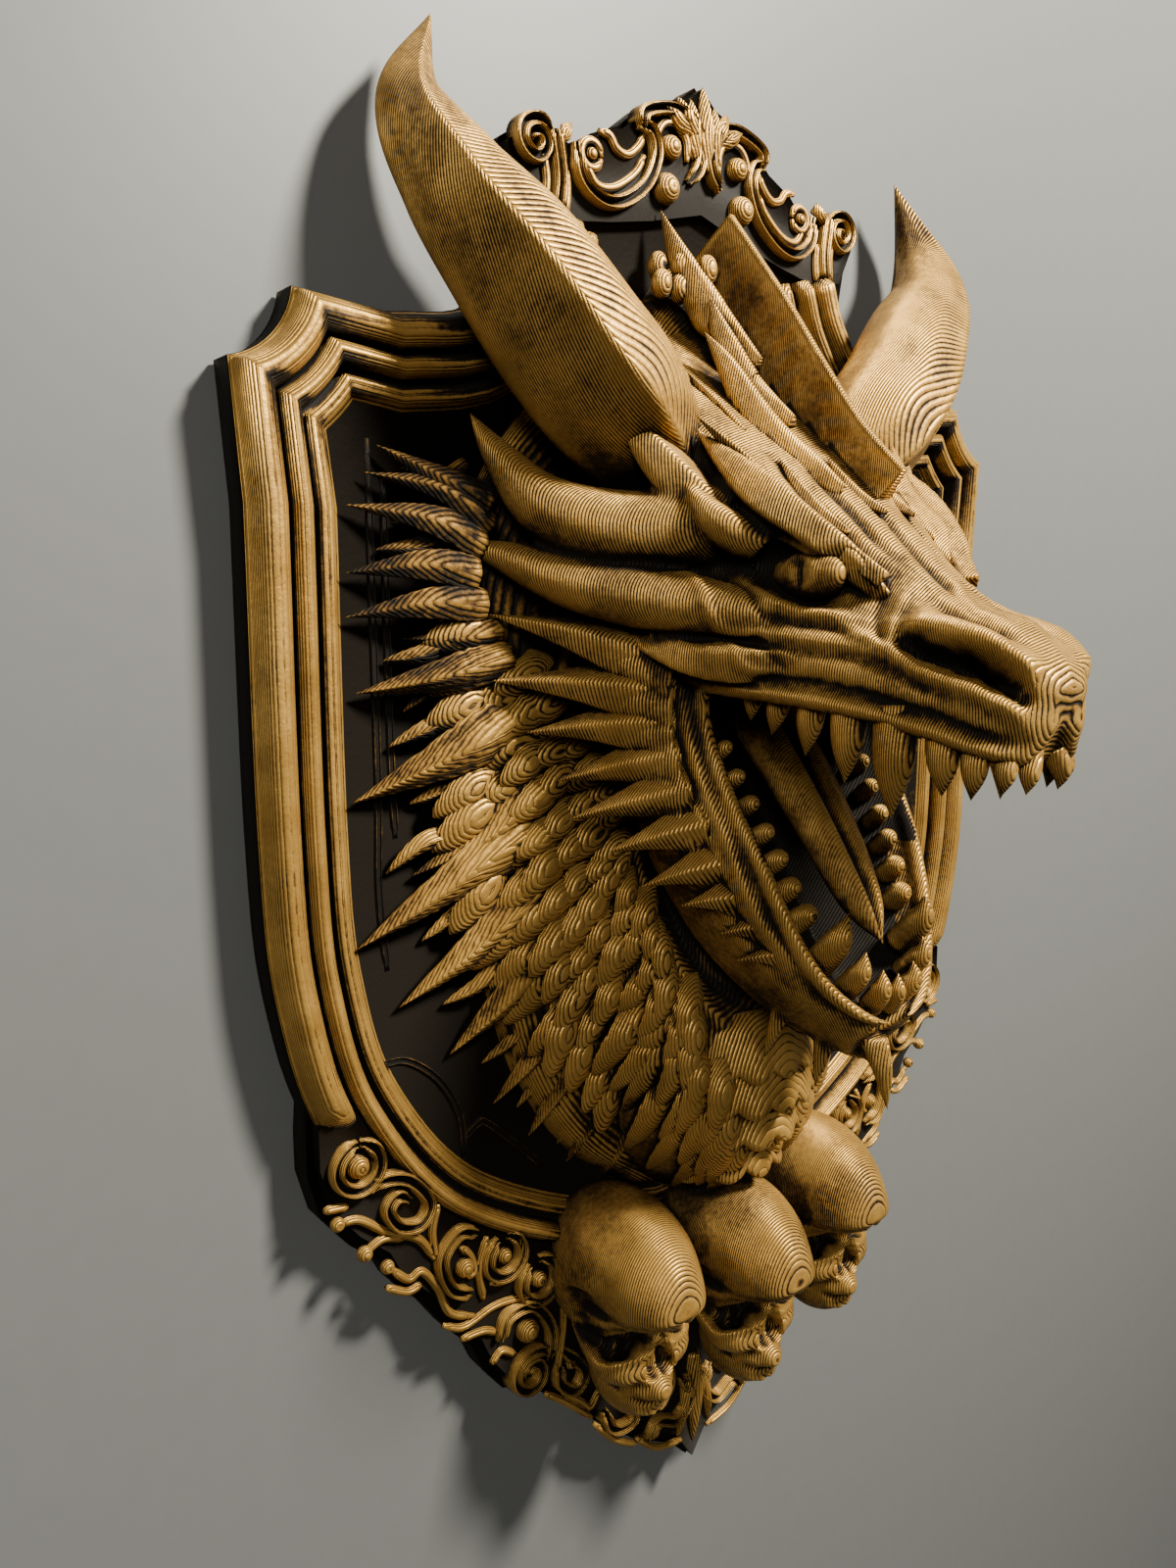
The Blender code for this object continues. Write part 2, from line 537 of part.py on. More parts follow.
def teeth():
    """Pointed teeth: those of the upper jaw hang from the lip, those of the lower jaw stand on its rim.

    Each is given by its share of the way along the jaw, its length and its radius."""
    upper = [(0.325, 3.5, 1.1), (0.39, 4, 1.2), (0.45, 5, 1.3), (0.51, 6.5, 1.5), (0.59, 8.5, 1.9),
             (0.675, 11, 2.3), (0.76, 7, 1.7), (0.825, 6, 1.5), (0.89, 5, 1.4), (0.95, 4.5, 1.3)]
    lower = [(0.125, 2.5, 1.2), (0.21, 2.5, 1.2), (0.3, 2.6, 1.2), (0.39, 2.8, 1.3), (0.475, 3, 1.3),
             (0.56, 3.4, 1.4), (0.65, 4.4, 1.6), (0.75, 7, 2.0), (0.85, 5, 1.8), (0.93, 4.4, 1.5),
             (0.98, 4, 1.3)]
    gum = spline(head_guides()[6][:8], TOOTH_STEPS + 1)
    rim = spline(jaw_guides()[1], TOOTH_STEPS + 1)
    shells = []
    for share, length, radius in upper:
        root = gum[round(share * TOOTH_STEPS)] + Vector((0.6, 0, 0))
        middle = root + Vector((0.2, 0.5, -length * 0.5))
        path = [root + Vector((0, 0, 1.5)), middle, root + Vector((0.6, -0.3, -length))]
        shells.append(spike(path, [(radius, radius), (radius * 0.8, radius * 0.8)], count=3))
    lean = Vector((0.25, 0.75, 0.6)).normalized()
    for share, length, radius in lower:
        root = rim[round(share * TOOTH_STEPS)]
        path = [root - lean * 1.5, root + lean * length * 0.5, root + lean * length]
        shells.append(spike(path, [(radius, radius), (radius * 0.9, radius * 0.9)], (0, 0, 1), count=3))
    return both(shells)


def tongue():
    path = [(0, 12, 22), (0, 20, 14), (0, 28, 4), (0, 34.5, -5.5), (0, 38, -10.4)]
    return [spike(path, [(6.5, 3.5), (6.0, 3.2), (5.0, 2.8), (3.2, 2.2)], (0, 1, 0.8), ROUND, 5)]


def chin_spikes():
    """A long spike under the chin and two shorter ones on each side of it."""
    centre = spike([(0, 37, -23), (0, 38.6, -27), (0, 39.4, -32)], [(2.4, 2.4), (1.5, 1.5)], count=3)
    side = [spike(path, [(1.8, 1.8), (1.1, 1.1)], count=3)
            for path in ([(-4.5, 33, -22), (-5.5, 33, -26), (-6, 32.6, -29.5)],
                         [(-8.5, 29.5, -18), (-9.8, 29, -22), (-10.6, 28, -26)])]
    return [centre] + both(side)


def head():
    return [guided(head_guides(), 9)]


def face_hollows():
    """The slits of the nostrils and the almond hollows round the eyes."""
    nostril = spike([(-9.6, 46.5, 26.6), (-10.2, 52.5, 25.6), (-7.4, 58.6, 21.6)], [(1.7, 2.6), (1.7, 2.6)],
                    (1, 0, 0), ROUND, 6, lens=True)
    eye = spike([(-15.4, 28.4, 37), (-15.2, 35, 35.6), (-12.2, 42, 32.4)], [(3.2, 3.2), (3.2, 3.2)],
                (1, 0, 0), ROUND, 6, lens=True)
    return both([nostril, eye])


def eyes():
    return both([globe((-12.0, 35.3, 34.6), (2.5, 4.3, 2.8), 8, 6)])


def jaw():
    return [guided(jaw_guides(), 7)]


# Building the one solid


def build_object(name, shells, hidden=False):
    """One mesh object from several closed shells."""
    mesh = bpy.data.meshes.new(name)
    bm = bmesh.new()
    for points, faces in shells:
        verts = [bm.verts.new((x * MM, -d * MM, z * MM)) for x, d, z in points]
        for f in faces:
            bm.faces.new([verts[i] for i in f])
    bmesh.ops.triangulate(bm, faces=bm.faces)
    bmesh.ops.recalc_face_normals(bm, faces=bm.faces)
    bm.to_mesh(mesh)
    bm.free()
    obj = bpy.data.objects.new(name, mesh)
    bpy.context.scene.collection.objects.link(obj)
    obj.hide_render = hidden
    if hidden:
        obj.display_type = "WIRE"
    return obj


def combine(target, operand, operation):
    step = target.modifiers.new(operand.name, "BOOLEAN")
    step.operation = operation
    step.solver = "EXACT"
    step.use_self = True
    step.object = operand


def bronze():
    material = bpy.data.materials.new("antique_bronze_print")
    material.use_nodes = True
    shader = material.node_tree.nodes["Principled BSDF"]
    shader.inputs["Base Color"].default_value = BRONZE
    shader.inputs["Roughness"].default_value = 0.5
    shader.inputs["Metallic"].default_value = 0.3
    return material


def main():
    for old in list(bpy.data.objects):
        bpy.data.objects.remove(old)
    back, *plates = shield()
    forms = plates + scrollwork() + skulls() + neck() + belly_plates() + mane()
    forms += head() + horns() + face_spikes() + crown_scales() + crest_plate()
    forms += jaw() + jaw_spines() + chin_spikes() + tongue() + teeth()
    plaque = build_object("dragon_plaque", [back])
    combine(plaque, build_object("forms", forms, hidden=True), "UNION")
    combine(plaque, build_object("hollows", skull_hollows() + face_hollows(), hidden=True), "DIFFERENCE")
    combine(plaque, build_object("eyes", eyes(), hidden=True), "UNION")
    thin = plaque.modifiers.new("thin_out", "DECIMATE")
    thin.ratio = TRIANGLES_KEPT
    plaque.data.materials.append(bronze())


main()
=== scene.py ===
"""The looks of the dragon wall plaque: a black print dry-brushed with antique gold.

Sizes are in millimetres and a point is (x, depth, z), where depth is the distance in front of the wall.
"""
import math

import bpy
import numpy as np
from mathutils import Matrix, Vector
from mathutils.bvhtree import BVHTree
from mathutils.geometry import delaunay_2d_cdt


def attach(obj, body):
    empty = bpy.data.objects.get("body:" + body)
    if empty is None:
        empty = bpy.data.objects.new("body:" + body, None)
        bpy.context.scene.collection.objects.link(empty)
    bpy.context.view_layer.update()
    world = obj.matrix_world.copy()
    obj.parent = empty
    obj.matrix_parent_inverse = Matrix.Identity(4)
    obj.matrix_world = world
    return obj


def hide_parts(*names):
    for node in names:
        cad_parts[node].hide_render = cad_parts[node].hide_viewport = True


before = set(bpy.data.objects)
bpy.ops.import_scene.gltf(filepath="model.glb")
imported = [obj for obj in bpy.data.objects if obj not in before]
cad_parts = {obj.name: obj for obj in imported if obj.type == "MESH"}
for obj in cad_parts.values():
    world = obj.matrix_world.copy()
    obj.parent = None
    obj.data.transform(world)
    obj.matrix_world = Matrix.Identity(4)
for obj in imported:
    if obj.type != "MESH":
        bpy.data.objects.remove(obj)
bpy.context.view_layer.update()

MM = 0.001
TIP = 100.0
HALF_WIDTH = 66.0
FIELD_DEPTH = 3.5
BAND_DEPTH = 5.0
BAND_TOP = -28.0
EAR_CENTRE = (-69.0, 66.5)
EAR_RADIUS = 9.6
EAR_TOP = 65.2
EAR_SIDE = 67.0
SKULL_SPACING = 19.5

# Sections of the neck's two mounds, each (height, half width, depth), and how square they are.
THROAT = ((-52, 8, 11), (-47, 14, 16.5), (-38, 18.5, 20), (-26, 21, 20.5), (-12, 24, 17), (4, 26, 13),
          (20, 27, 13), (38, 26, 13), (54, 20, 12.5), (68, 12, 9), (76, 6, 5))
BED = ((-50, 14, 8), (-42, 24, 9), (-30, 32, 10), (-14, 37, 10), (4, 40, 9.5), (20, 41, 9), (36, 40, 8.5),
       (50, 34, 7.5), (62, 22, 6))
THROAT_POWER = 0.7
BED_POWER = 0.45

# The blade on the dragon's forehead: half its thickness at the foot, and its height.
PLATE_HALF = 1.9
PLATE_DEPTH = 11.0

# Samples along the top of the frame, height of a scale's barbs, and thickness of a printed layer.
TOP_SAMPLES = 28
BARB = 0.1
LAYER = 0.28

# Blades of the mane with a smaller half width than this are thin wisps.
WISP = 2.3

# Headings in degrees of a row's first and last scale, and how far a scale's tip stands off the neck.
SCALE_HEADINGS = (196, 264)
SCALE_TIP = 2.2

# How finely the shells of a skull, and of the head and jaw, are run together.
SKULL_GRAIN = 0.36
HEAD_GRAIN = 0.42

# Where the skull is shaped, and each skull's name and own place.
SKULL_HOME = (0, 12.5, -61)
SKULLS = (("skull_left", (-SKULL_SPACING, 10.5, -58.5)), ("skull_middle", SKULL_HOME),
          ("skull_right", (SKULL_SPACING, 10.5, -58.5)))

# From a mesh's metres to (x, depth, z), where depth is the distance in front of the wall.
FLIP = np.array([1, -1, 1])
LEFT_TO_RIGHT = np.array([-1, 1, 1])

random = np.random.default_rng(7)


# Curves


def spline(points, count):
    """Samples of a Catmull-Rom curve through the points, evenly shared between them."""
    pts = np.array(points, float)
    ends = np.vstack([2 * pts[0] - pts[1], pts, 2 * pts[-1] - pts[-2]])
    u = np.linspace(0, len(pts) - 1, count)
    k = np.minimum(u.astype(int), len(pts) - 2)
    t = (u - k)[:, None]
    a, b, c, d = (ends[k + i] for i in range(4))
    bend = (2 * a - 5 * b + 4 * c - d) * t ** 2 + (3 * b - a - 3 * c + d) * t ** 3
    return 0.5 * (2 * b + (c - a) * t + bend)


def arc(centre, radius, start, end, count):
    a = np.radians(np.linspace(start, end, count))
    return np.stack([centre[0] + radius * np.cos(a), centre[1] + radius * np.sin(a)], 1)


def spiral(centre, outer, inner, start, turns):
    """A flat spiral winding in from its outer end."""
    t = np.linspace(0, 1, 40)
    r = outer + (inner - outer) * t
    a = np.radians(start + 360 * turns * t)
    return np.stack([centre[0] + r * np.cos(a), centre[1] + r * np.sin(a)], 1)


def unit(v):
    return v / np.maximum(np.linalg.norm(v, axis=-1, keepdims=True), 1e-9)


def offset(path, distance):
    """The flat path moved to its left by the distance."""
    path = np.array(path, float)
    step = unit(np.diff(path, axis=0))
    mean = unit(np.vstack([step[:1], step[:-1] + step[1:], step[-1:]]))
    lead = np.vstack([step, step[-1:]])
    stretch = 1 / np.clip((mean * lead).sum(1, keepdims=True), 0.45, 1)
    return path + np.stack([-mean[:, 1], mean[:, 0]], 1) * distance * stretch


def mirror_flat(points):
    return points[::-1] * np.array([-1, 1])


# Closed shells, each (points, faces with four corners, faces with three corners)


def skin(rings):
    """A closed skin through rings. The ends are closed by a fan to their middle."""
    rings = np.asarray(rings, float)
    n, m = rings.shape[:2]
    points = np.vstack([rings.reshape(-1, 3), rings[0].mean(0), rings[-1].mean(0)])
    i = np.arange(n - 1)[:, None] * m
    j = np.arange(m)
    k = (j + 1) % m
    quads = np.stack([i + j, i + k, i + m + k, i + m + j], -1).reshape(-1, 4)
    first = np.stack([k, j, np.full(m, n * m)], -1)
    last = np.stack([(n - 1) * m + j, (n - 1) * m + k, np.full(m, n * m + 1)], -1)
    return outward((points, quads, np.vstack([first, last])))


def outward(shell):
    """The shell with its faces turned to face out."""
    points, quads, triangles = shell
    corners = np.vstack([quads[:, [0, 1, 2]], quads[:, [0, 2, 3]], triangles]) if len(quads) else triangles
    a, b, c = (points[corners[:, i]] for i in range(3))
    volume = (a * np.cross(b, c)).sum()
    if volume > 0:
        return points, quads[:, ::-1], triangles[:, ::-1]
    return shell


def mirror(shell):
    points, quads, triangles = shell
    return points * LEFT_TO_RIGHT, quads[:, ::-1], triangles[:, ::-1]


def both(shells):
    return shells + [mirror(s) for s in shells]


def rounded(corners, count):
    """A closed outline with the corners given, all softened but the first."""
    loop = np.array([*corners, corners[0]], float)
    reach = np.concatenate([[0], np.cumsum(np.linalg.norm(np.diff(loop, axis=0), axis=1))])
    even = np.linspace(0, reach[-1], count, endpoint=False)
    outline = np.stack([np.interp(even, reach, loop[:, k]) for k in (0, 1)], 1)
    for _ in range(5):
        outline[1:] = ((np.roll(outline, 1, 0) + 2 * outline + np.roll(outline, -1, 0)) / 4)[1:]
    return outline


HORN = ((0.2, 1.0), (-0.55, 0.82), (-0.98, 0.3), (-1, -0.35), (-0.35, -1), (0.6, -0.85), (1.0, -0.25),
        (0.72, 0.38))


def section(kind, count):
    """A closed outline in the unit square, as (across, up) pairs."""
    a = np.linspace(0, 2 * np.pi, count, endpoint=False)
    x, y = np.cos(a), np.sin(a)
    if kind == "keel":
        lift = np.where(y > 0, 0.25 + 0.75 * (1 - np.abs(x)) ** 0.9, 0.45)
        return np.stack([x, np.sign(y) * np.abs(y) ** 0.6 * lift], 1)
    if kind == "dome":
        lift = np.where(y > 0, (1 - x ** 2) ** 0.35 + 0.12 * (1 - np.abs(x)), 0.45)
        return np.stack([x, np.sign(y) * np.abs(y) ** 0.8 * lift], 1)
    if kind == "diamond":
        r = 1 / (np.abs(x) + np.abs(y)) ** 0.75
        return np.stack([x * r, y * r], 1)
    if kind == "horn":
        return rounded(HORN, count)
    if kind == "tongue":
        groove = np.where(y > 0, 1 - 0.6 * np.exp(-(x / 0.2) ** 2), 1.0)
        return np.stack([x, y * groove], 1)
    return np.stack([x, y], 1)


def sweep(path, widths, heights, outline, up=(0, 1, 0)):
    """Rings of an outline carried along a path."""
    path = np.asarray(path, float)
    ahead = unit(np.gradient(path, axis=0))
    side = unit(np.cross(ahead, np.array(up, float)))
    top = np.cross(side, ahead)
    across = side[:, None] * (widths[:, None] * outline[:, 0])[..., None]
    rise = top[:, None] * (heights[:, None] * outline[:, 1])[..., None]
    return path[:, None] + across + rise


def taper(values, count, tip=0.02):
    """A smooth run of sizes that ends near nothing."""
    return np.maximum(spline([[v] for v in values] + [[tip]], count)[:, 0], tip)


def spike(path, sizes, up=(0, 1, 0), kind="diamond", count=22, around=16, lens=False):
    """A curved spike that ends in a point. sizes are its half widths and half heights, from the base on."""
    first = [0.02] if lens else []
    widths = taper(first + [w for w, _ in sizes], count)
    heights = taper(first + [h for _, h in sizes], count)
    return skin(sweep(spline(path, count), widths, heights, section(kind, around), up))


def peg(base, tip, radius):
    """A blunt round-ended peg."""
    reach = np.array([0, 0.3, 0.6, 0.8, 0.92, 0.98, 1.0])
    sizes = radius * np.array([1.1, 1.0, 0.95, 0.85, 0.62, 0.35, 0.05])
    base, tip = np.array(base, float), np.array(tip, float)
    path = base + (tip - base) * reach[:, None]
    return skin(sweep(path, sizes, sizes, section("round", 14), (0, 0.3, 1)))


def globe(centre, radii, around=32, up=24, shape=None):
    lat = np.linspace(-np.pi / 2 + 0.02, np.pi / 2 - 0.02, up)[:, None]
    lon = np.linspace(0, 2 * np.pi, around, endpoint=False)
    d = np.stack([np.cos(lat) * np.cos(lon), np.cos(lat) * np.sin(lon), np.sin(lat) + 0 * lon], -1)
    r = shape(d)[..., None] if shape else 1.0
    return skin(np.array(centre) + np.array(radii) * d * r)


def slab(outline, low, high):
    """A flat plate between two depths."""
    n = len(outline)
    flat = [Vector(p) for p in outline]
    triangles = np.array(delaunay_2d_cdt(flat, [], [list(range(n))], 1, 1e-6)[2])
    points = np.array([(x, depth, z) for depth in (low, high) for x, z in outline])
    i = np.arange(n)
    j = (i + 1) % n
    quads = np.stack([i, j, j + n, i + n], 1)
    return outward((points, quads, np.vstack([triangles, triangles[:, ::-1] + n])))


# Meshes


def mesh_of(name, shells):
    """A mesh made straight from shells."""
    starts = np.cumsum([0] + [len(s[0]) for s in shells])
    points = np.vstack([s[0] for s in shells])
    quads = np.vstack([s[1] + k for s, k in zip(shells, starts)])
    triangles = np.vstack([s[2] + k for s, k in zip(shells, starts)])
    loops = np.concatenate([quads.ravel(), triangles.ravel()])
    totals = np.concatenate([np.full(len(quads), 4), np.full(len(triangles), 3)])
    mesh = bpy.data.meshes.new(name)
    mesh.vertices.add(len(points))
    mesh.vertices.foreach_set("co", (points * FLIP * MM).astype(np.float32).ravel())
    mesh.loops.add(len(loops))
    mesh.loops.foreach_set("vertex_index", loops.astype(np.int32))
    mesh.polygons.add(len(totals))
    first = np.concatenate([[0], np.cumsum(totals)[:-1]])
    mesh.polygons.foreach_set("loop_start", first.astype(np.int32))
    mesh.polygons.foreach_set("loop_total", totals.astype(np.int32))
    mesh.update(calc_edges=True)
    mesh.validate()
    return mesh


def show(mesh):
    obj = bpy.data.objects.new(mesh.name, mesh)
    bpy.context.scene.collection.objects.link(obj)
    mesh.polygons.foreach_set("use_smooth", np.full(len(mesh.polygons), True))
    mesh.update()
    return obj


def melt(name, shells, voxel):
    """The shells run together into one skin, as clay would."""
    obj = show(mesh_of(name + "_rough", shells))
    remesh = obj.modifiers.new("run_together", "REMESH")
    remesh.mode = "VOXEL"
    remesh.voxel_size = voxel * MM
    smooth = obj.modifiers.new("soften", "SMOOTH")
    smooth.factor = 0.5
    smooth.iterations = 3
    bpy.context.view_layer.update()
    done = bpy.data.meshes.new_from_object(obj.evaluated_get(bpy.context.evaluated_depsgraph_get()))
    done.name = name
    bpy.data.objects.remove(obj)
    return done


def numbers_of(mesh):
    """The mesh's points and the directions its skin faces there, in its own units."""
    co = np.empty(len(mesh.vertices) * 3, np.float32)
    mesh.vertices.foreach_get("co", co)
    normal = np.empty(len(mesh.vertices) * 3, np.float32)
    mesh.vertex_normals.foreach_get("vector", normal)
    return co.reshape(-1, 3), normal.reshape(-1, 3)


def points_of(mesh):
    """The mesh's points as (x, depth, z) in millimetres, and the directions its skin faces there."""
    co, normal = numbers_of(mesh)
    return co * FLIP / MM, normal * FLIP


def put(mesh, points):
    mesh.vertices.foreach_set("co", (points * FLIP * MM).astype(np.float32).ravel())
    mesh.update()


def nearness(points, path):
    """Distance of each point from a path, and how far along the path its nearest place is."""
    best = np.full(len(points), 1e9)
    along = np.zeros(len(points))
    for i in range(len(path) - 1):
        a, d = path[i], path[i + 1] - path[i]
        t = np.clip(((points - a) @ d) / max(d @ d, 1e-9), 0, 1)
        gap = np.linalg.norm(points - a - t[:, None] * d, axis=1)
        near = gap < best
        best[near] = gap[near]
        along[near] = (i + t[near]) / (len(path) - 1)
    return best, along


def carve(mesh, strokes):
    """Raises or sinks the skin along strokes, each (path, width, height, sharpness).

    A stroke is laid on the skin nearest to its path on the left side, and is made on both sides. Its ends
    fade out."""
    points, normals = points_of(mesh)
    folded = points * LEFT_TO_RIGHT
    folded[:, 0] = -np.abs(points[:, 0])
    total = np.zeros(len(points))
    for path, width, height, sharp in strokes:
        line = spline(path, 5 * len(path))
        line = np.array([folded[np.argmin(((folded - p) ** 2).sum(1))] for p in line])
        line[1:-1] = (line[:-2] + 2 * line[1:-1] + line[2:]) / 4
        low, high = line.min(0) - 2.2 * width, line.max(0) + 2.2 * width
        near = np.flatnonzero(((folded > low) & (folded < high)).all(1))
        if not len(near):
            continue
        gap, along = nearness(folded[near], line)
        fade = np.clip(np.minimum(along, 1 - along) * 5, 0.15, 1) ** 0.7
        total[near] += height * fade * np.exp(-(gap / width) ** sharp)
    put(mesh, points + normals * total[:, None])


# The shield


def frame_loop(inset):
    """The frame's closed edge moved inwards. Each upper corner, or ear, has a round bite taken out of it."""
    brow = [(-12, 93), (-20, 88.5), (-26.4, 82.3), (-27.8, 78.8), (-30.2, 73.6), (-37.2, 66.5), (-48, 64.3)]
    flank = [(-HALF_WIDTH, 42), (-HALF_WIDTH, 5), (-64.6, -14), (-59.5, -31), (-47, -48), (-27, -60),
             (-9, -64.6)]
    radius = EAR_RADIUS + inset
    start = -math.degrees(math.asin((EAR_CENTRE[1] - EAR_TOP + inset) / radius))
    end = -math.degrees(math.acos((-EAR_SIDE - EAR_CENTRE[0] + inset) / radius))
    top = offset(spline(brow, TOP_SAMPLES), inset)
    side = offset(spline(flank, 60), inset)
    left = np.vstack([top, arc(EAR_CENTRE, radius, start, end, 16), side])
    return np.vstack([left, mirror_flat(left)])


def half_round(centre, half_width, low, height, count):
    a = np.linspace(0, np.pi, count)
    return np.stack([centre - half_width * np.cos(a), low + height * np.sin(a)], 1)


def frame_profile():
    """The mouldings from the edge inwards: a half-round bead, a smaller one, a fillet and a last bead."""
    beads = [half_round(2.7, 2.1, 3.9, 3.1, 17), half_round(6.4, 1.35, 4.0, 2.3, 11), [(8.1, 3.7)],
             half_round(9.5, 0.95, 3.9, 0.9, 7)]
    return np.vstack([[(0.3, 1.0), (0.3, 3.6)]] + beads + [[(11.2, 3.5), (11.3, 1.0)]])


def crest_outline():
    return np.array([(0, TIP), (-2.5, 98), (-9, 95.6), (-13.5, 92), (-18, 90), (-21, 87.3), (-24.5, 88.2),
                     (-29, 88.4), (-32.5, 86)])


def point_outline():
    return np.array([(-61.5, -30), (-61.5, -35), (-60, -40.5), (-56.5, -45), (-52.5, -48.5), (-50.8, -52),
                     (-46.5, -56.5), (-43, -61.5), (-39.5, -65), (-37.5, -69.5), (-34.5, -73.5), (-30, -75),
                     (-26, -79), (-21.5, -83), (-16.5, -87.5), (-10, -93), (-3.5, -96.5), (0, -TIP)])


def closed(half):
    """An outline whose left half runs from the top to the bottom."""
    return np.vstack([half, mirror_flat(half[1:-1])])


def frame_mouldings():
    """The frame's closed ring. It dives under the crest, and its outer bead under the scrolled band."""
    profile = frame_profile()
    rings = []
    for inset, depth in profile:
        loop = frame_loop(inset)
        n = len(loop)
        place = np.minimum(np.arange(n), n - 1 - np.arange(n))
        dive = np.clip((TOP_SAMPLES * 0.45 - place) / 2, 0, 1)
        level = depth + (min(depth, FIELD_DEPTH - 0.4) - depth) * dive
        if inset < 4.9:
            sink = np.clip((BAND_TOP + 1 - loop[:, 1]) / 3, 0, 1)
            level = level + (np.minimum(level, BAND_DEPTH - 0.6) - level) * sink
        rings.append(np.stack([loop[:, 0], level, loop[:, 1]], 1))
    rings = np.array(rings)
    n, m = rings.shape[:2]
    i = np.arange(n)[:, None]
    j = np.arange(m)
    k = (j + 1) % m
    ahead = (i + 1) % n * m
    quads = np.stack([i * m + j, i * m + k, ahead + k, ahead + j], -1)
    return outward((rings.reshape(-1, 3), quads.reshape(-1, 4), np.zeros((0, 3), int)))


def field_plate():
    """The flat ground of the shield, with faint raised tracery on it."""
    upper = frame_loop(0.2)
    upper = upper[(upper[:, 0] < -29.5) & (upper[:, 1] > BAND_TOP)]
    plate = slab(closed(np.vstack([crest_outline(), upper, point_outline()])), 0.0, FIELD_DEPTH)
    lines = [
        [(-50.8, 50), (-50.7, 12), (-51, -2), (-50.2, -12)],
        [(-48.9, 46), (-48.9, 16), (-48.6, 4)],
        [(-51.4, -23.5), (-47.8, -23.9), (-43.5, -27.4), (-40.5, -32.8), (-39.9, -38.5)],
        [(-40.1, -36.4), (-37.6, -34.8), (-36.2, -35.2), (-30.9, -40.2), (-27.2, -44)],
        [(-45, 56), (-38, 56.5), (-30, 60), (-22, 68)],
    ]
    tracery = [ribbon(spline(line, 40), FIELD_DEPTH, 0.55, 0.3, 0.6) for line in lines]
    return [plate] + both(tracery)


def band_plates():
    """The flat grounds of the scrolled band round the point and of the crest."""
    outer = point_outline() * 0.985 + np.array([0, 0.7])
    outer[-1] = (0, 0.5 - TIP)
    inner = frame_loop(4.9)
    inner = inner[(inner[:, 0] < 0) & (inner[:, 1] < BAND_TOP + 2)]
    rim = np.vstack([outer, mirror_flat(outer[:-1]), mirror_flat(inner)[::-1], inner[::-1]])
    half = np.vstack([[(0, TIP - 0.6)], crest_outline()[1:] * 0.985 + np.array([0, 0.8]),
                      [(-29, 79.5), (-22, 78.5), (-16, 79.5), (-9, 81), (0, 83.5)]])
    return [slab(rim, 1.1, BAND_DEPTH), slab(closed(half), 1.2, BAND_DEPTH)]


def ribbon(path, depth, half_width, height, root=1.2):
    """A raised strip with a bead along each edge, tapering to its ends."""
    path = np.asarray(path, float)
    n = len(path)
    t = np.linspace(0, 1, n)
    thin = np.clip(np.minimum(t, 1 - t) * 12, 0.35, 1) ** 0.5
    step = unit(np.gradient(path, axis=0))
    side = np.stack([-step[:, 1], step[:, 0]], 1)
    across = np.array([-1, -0.92, -0.64, -0.34, -0.15, 0.15, 0.34, 0.64, 0.92, 1])
    rise = np.array([-root / height, 0.45, 1, 0.55, 0.12, 0.12, 0.55, 1, 0.45, -root / height])
    flat = path[:, None] + side[:, None] * (across * half_width)[None, :, None] * thin[:, None, None]
    level = depth + rise[None, :] * height * np.where(rise > 0, thin[:, None], 1)
    return skin(np.stack([flat[..., 0], level, flat[..., 1]], -1))


def bead(path, depth, radius):
    """A fine round line raised on a flat ground, for the scrolls' thin branches."""
    path = np.asarray(path, float)
    t = np.linspace(0, 1, len(path))
    thin = radius * np.clip(np.minimum(t, 1 - t) * 10, 0.4, 1) ** 0.5
    centre = np.stack([path[:, 0], np.full(len(path), depth + 0.2), path[:, 1]], 1)
    return skin(sweep(centre, thin, thin, section("round", 10)))


def splines(lines):
    """Samples of each line given as how many samples, then its points."""
    return [spline(points, count) for count, *points in lines]


def crest_scrolls():
    """Strips of the crest's left half, then its fine lines."""
    strips = [spiral((-28.2, 86.2), 2.7, 0.7, 20, 1.5)] + splines([
        (20, (-25.4, 88.2), (-24.6, 83), (-24.9, 79.2)),
        (60, (-22, 87.5), (-21.1, 83.4), (-18.1, 81.6), (-14.4, 82.2), (-10.6, 85), (-8.9, 88.8),
         (-9.6, 91.4), (-11.5, 92)),
        (50, (-11.2, 91.4), (-10.6, 93.8), (-6, 95.2), (-2.6, 94.4), (-0.9, 91.8), (-1.3, 88.8),
         (-2.9, 86.9)),
    ])
    fine = [arc((-19.4, 86.7), 1.6, 0, 350, 24)] + splines([
        (30, (-20.3, 85.6), (-18.6, 83.4), (-15.7, 83.6), (-12.2, 86), (-10.6, 88.5)),
        (30, (-18.1, 89.8), (-16.4, 89.6), (-15.2, 88.3), (-13.4, 88), (-11.6, 89.4), (-10.7, 91)),
        (34, (-8.3, 88.6), (-8.4, 91.4), (-7, 93.3), (-4.5, 93.5), (-3, 91.8), (-3, 89.4)),
        (14, (-23.4, 84), (-23.2, 81.6), (-23.5, 78.9)),
        (14, (-26.8, 85), (-26.3, 82.4), (-26.6, 79.4)),
    ])
    return strips, fine


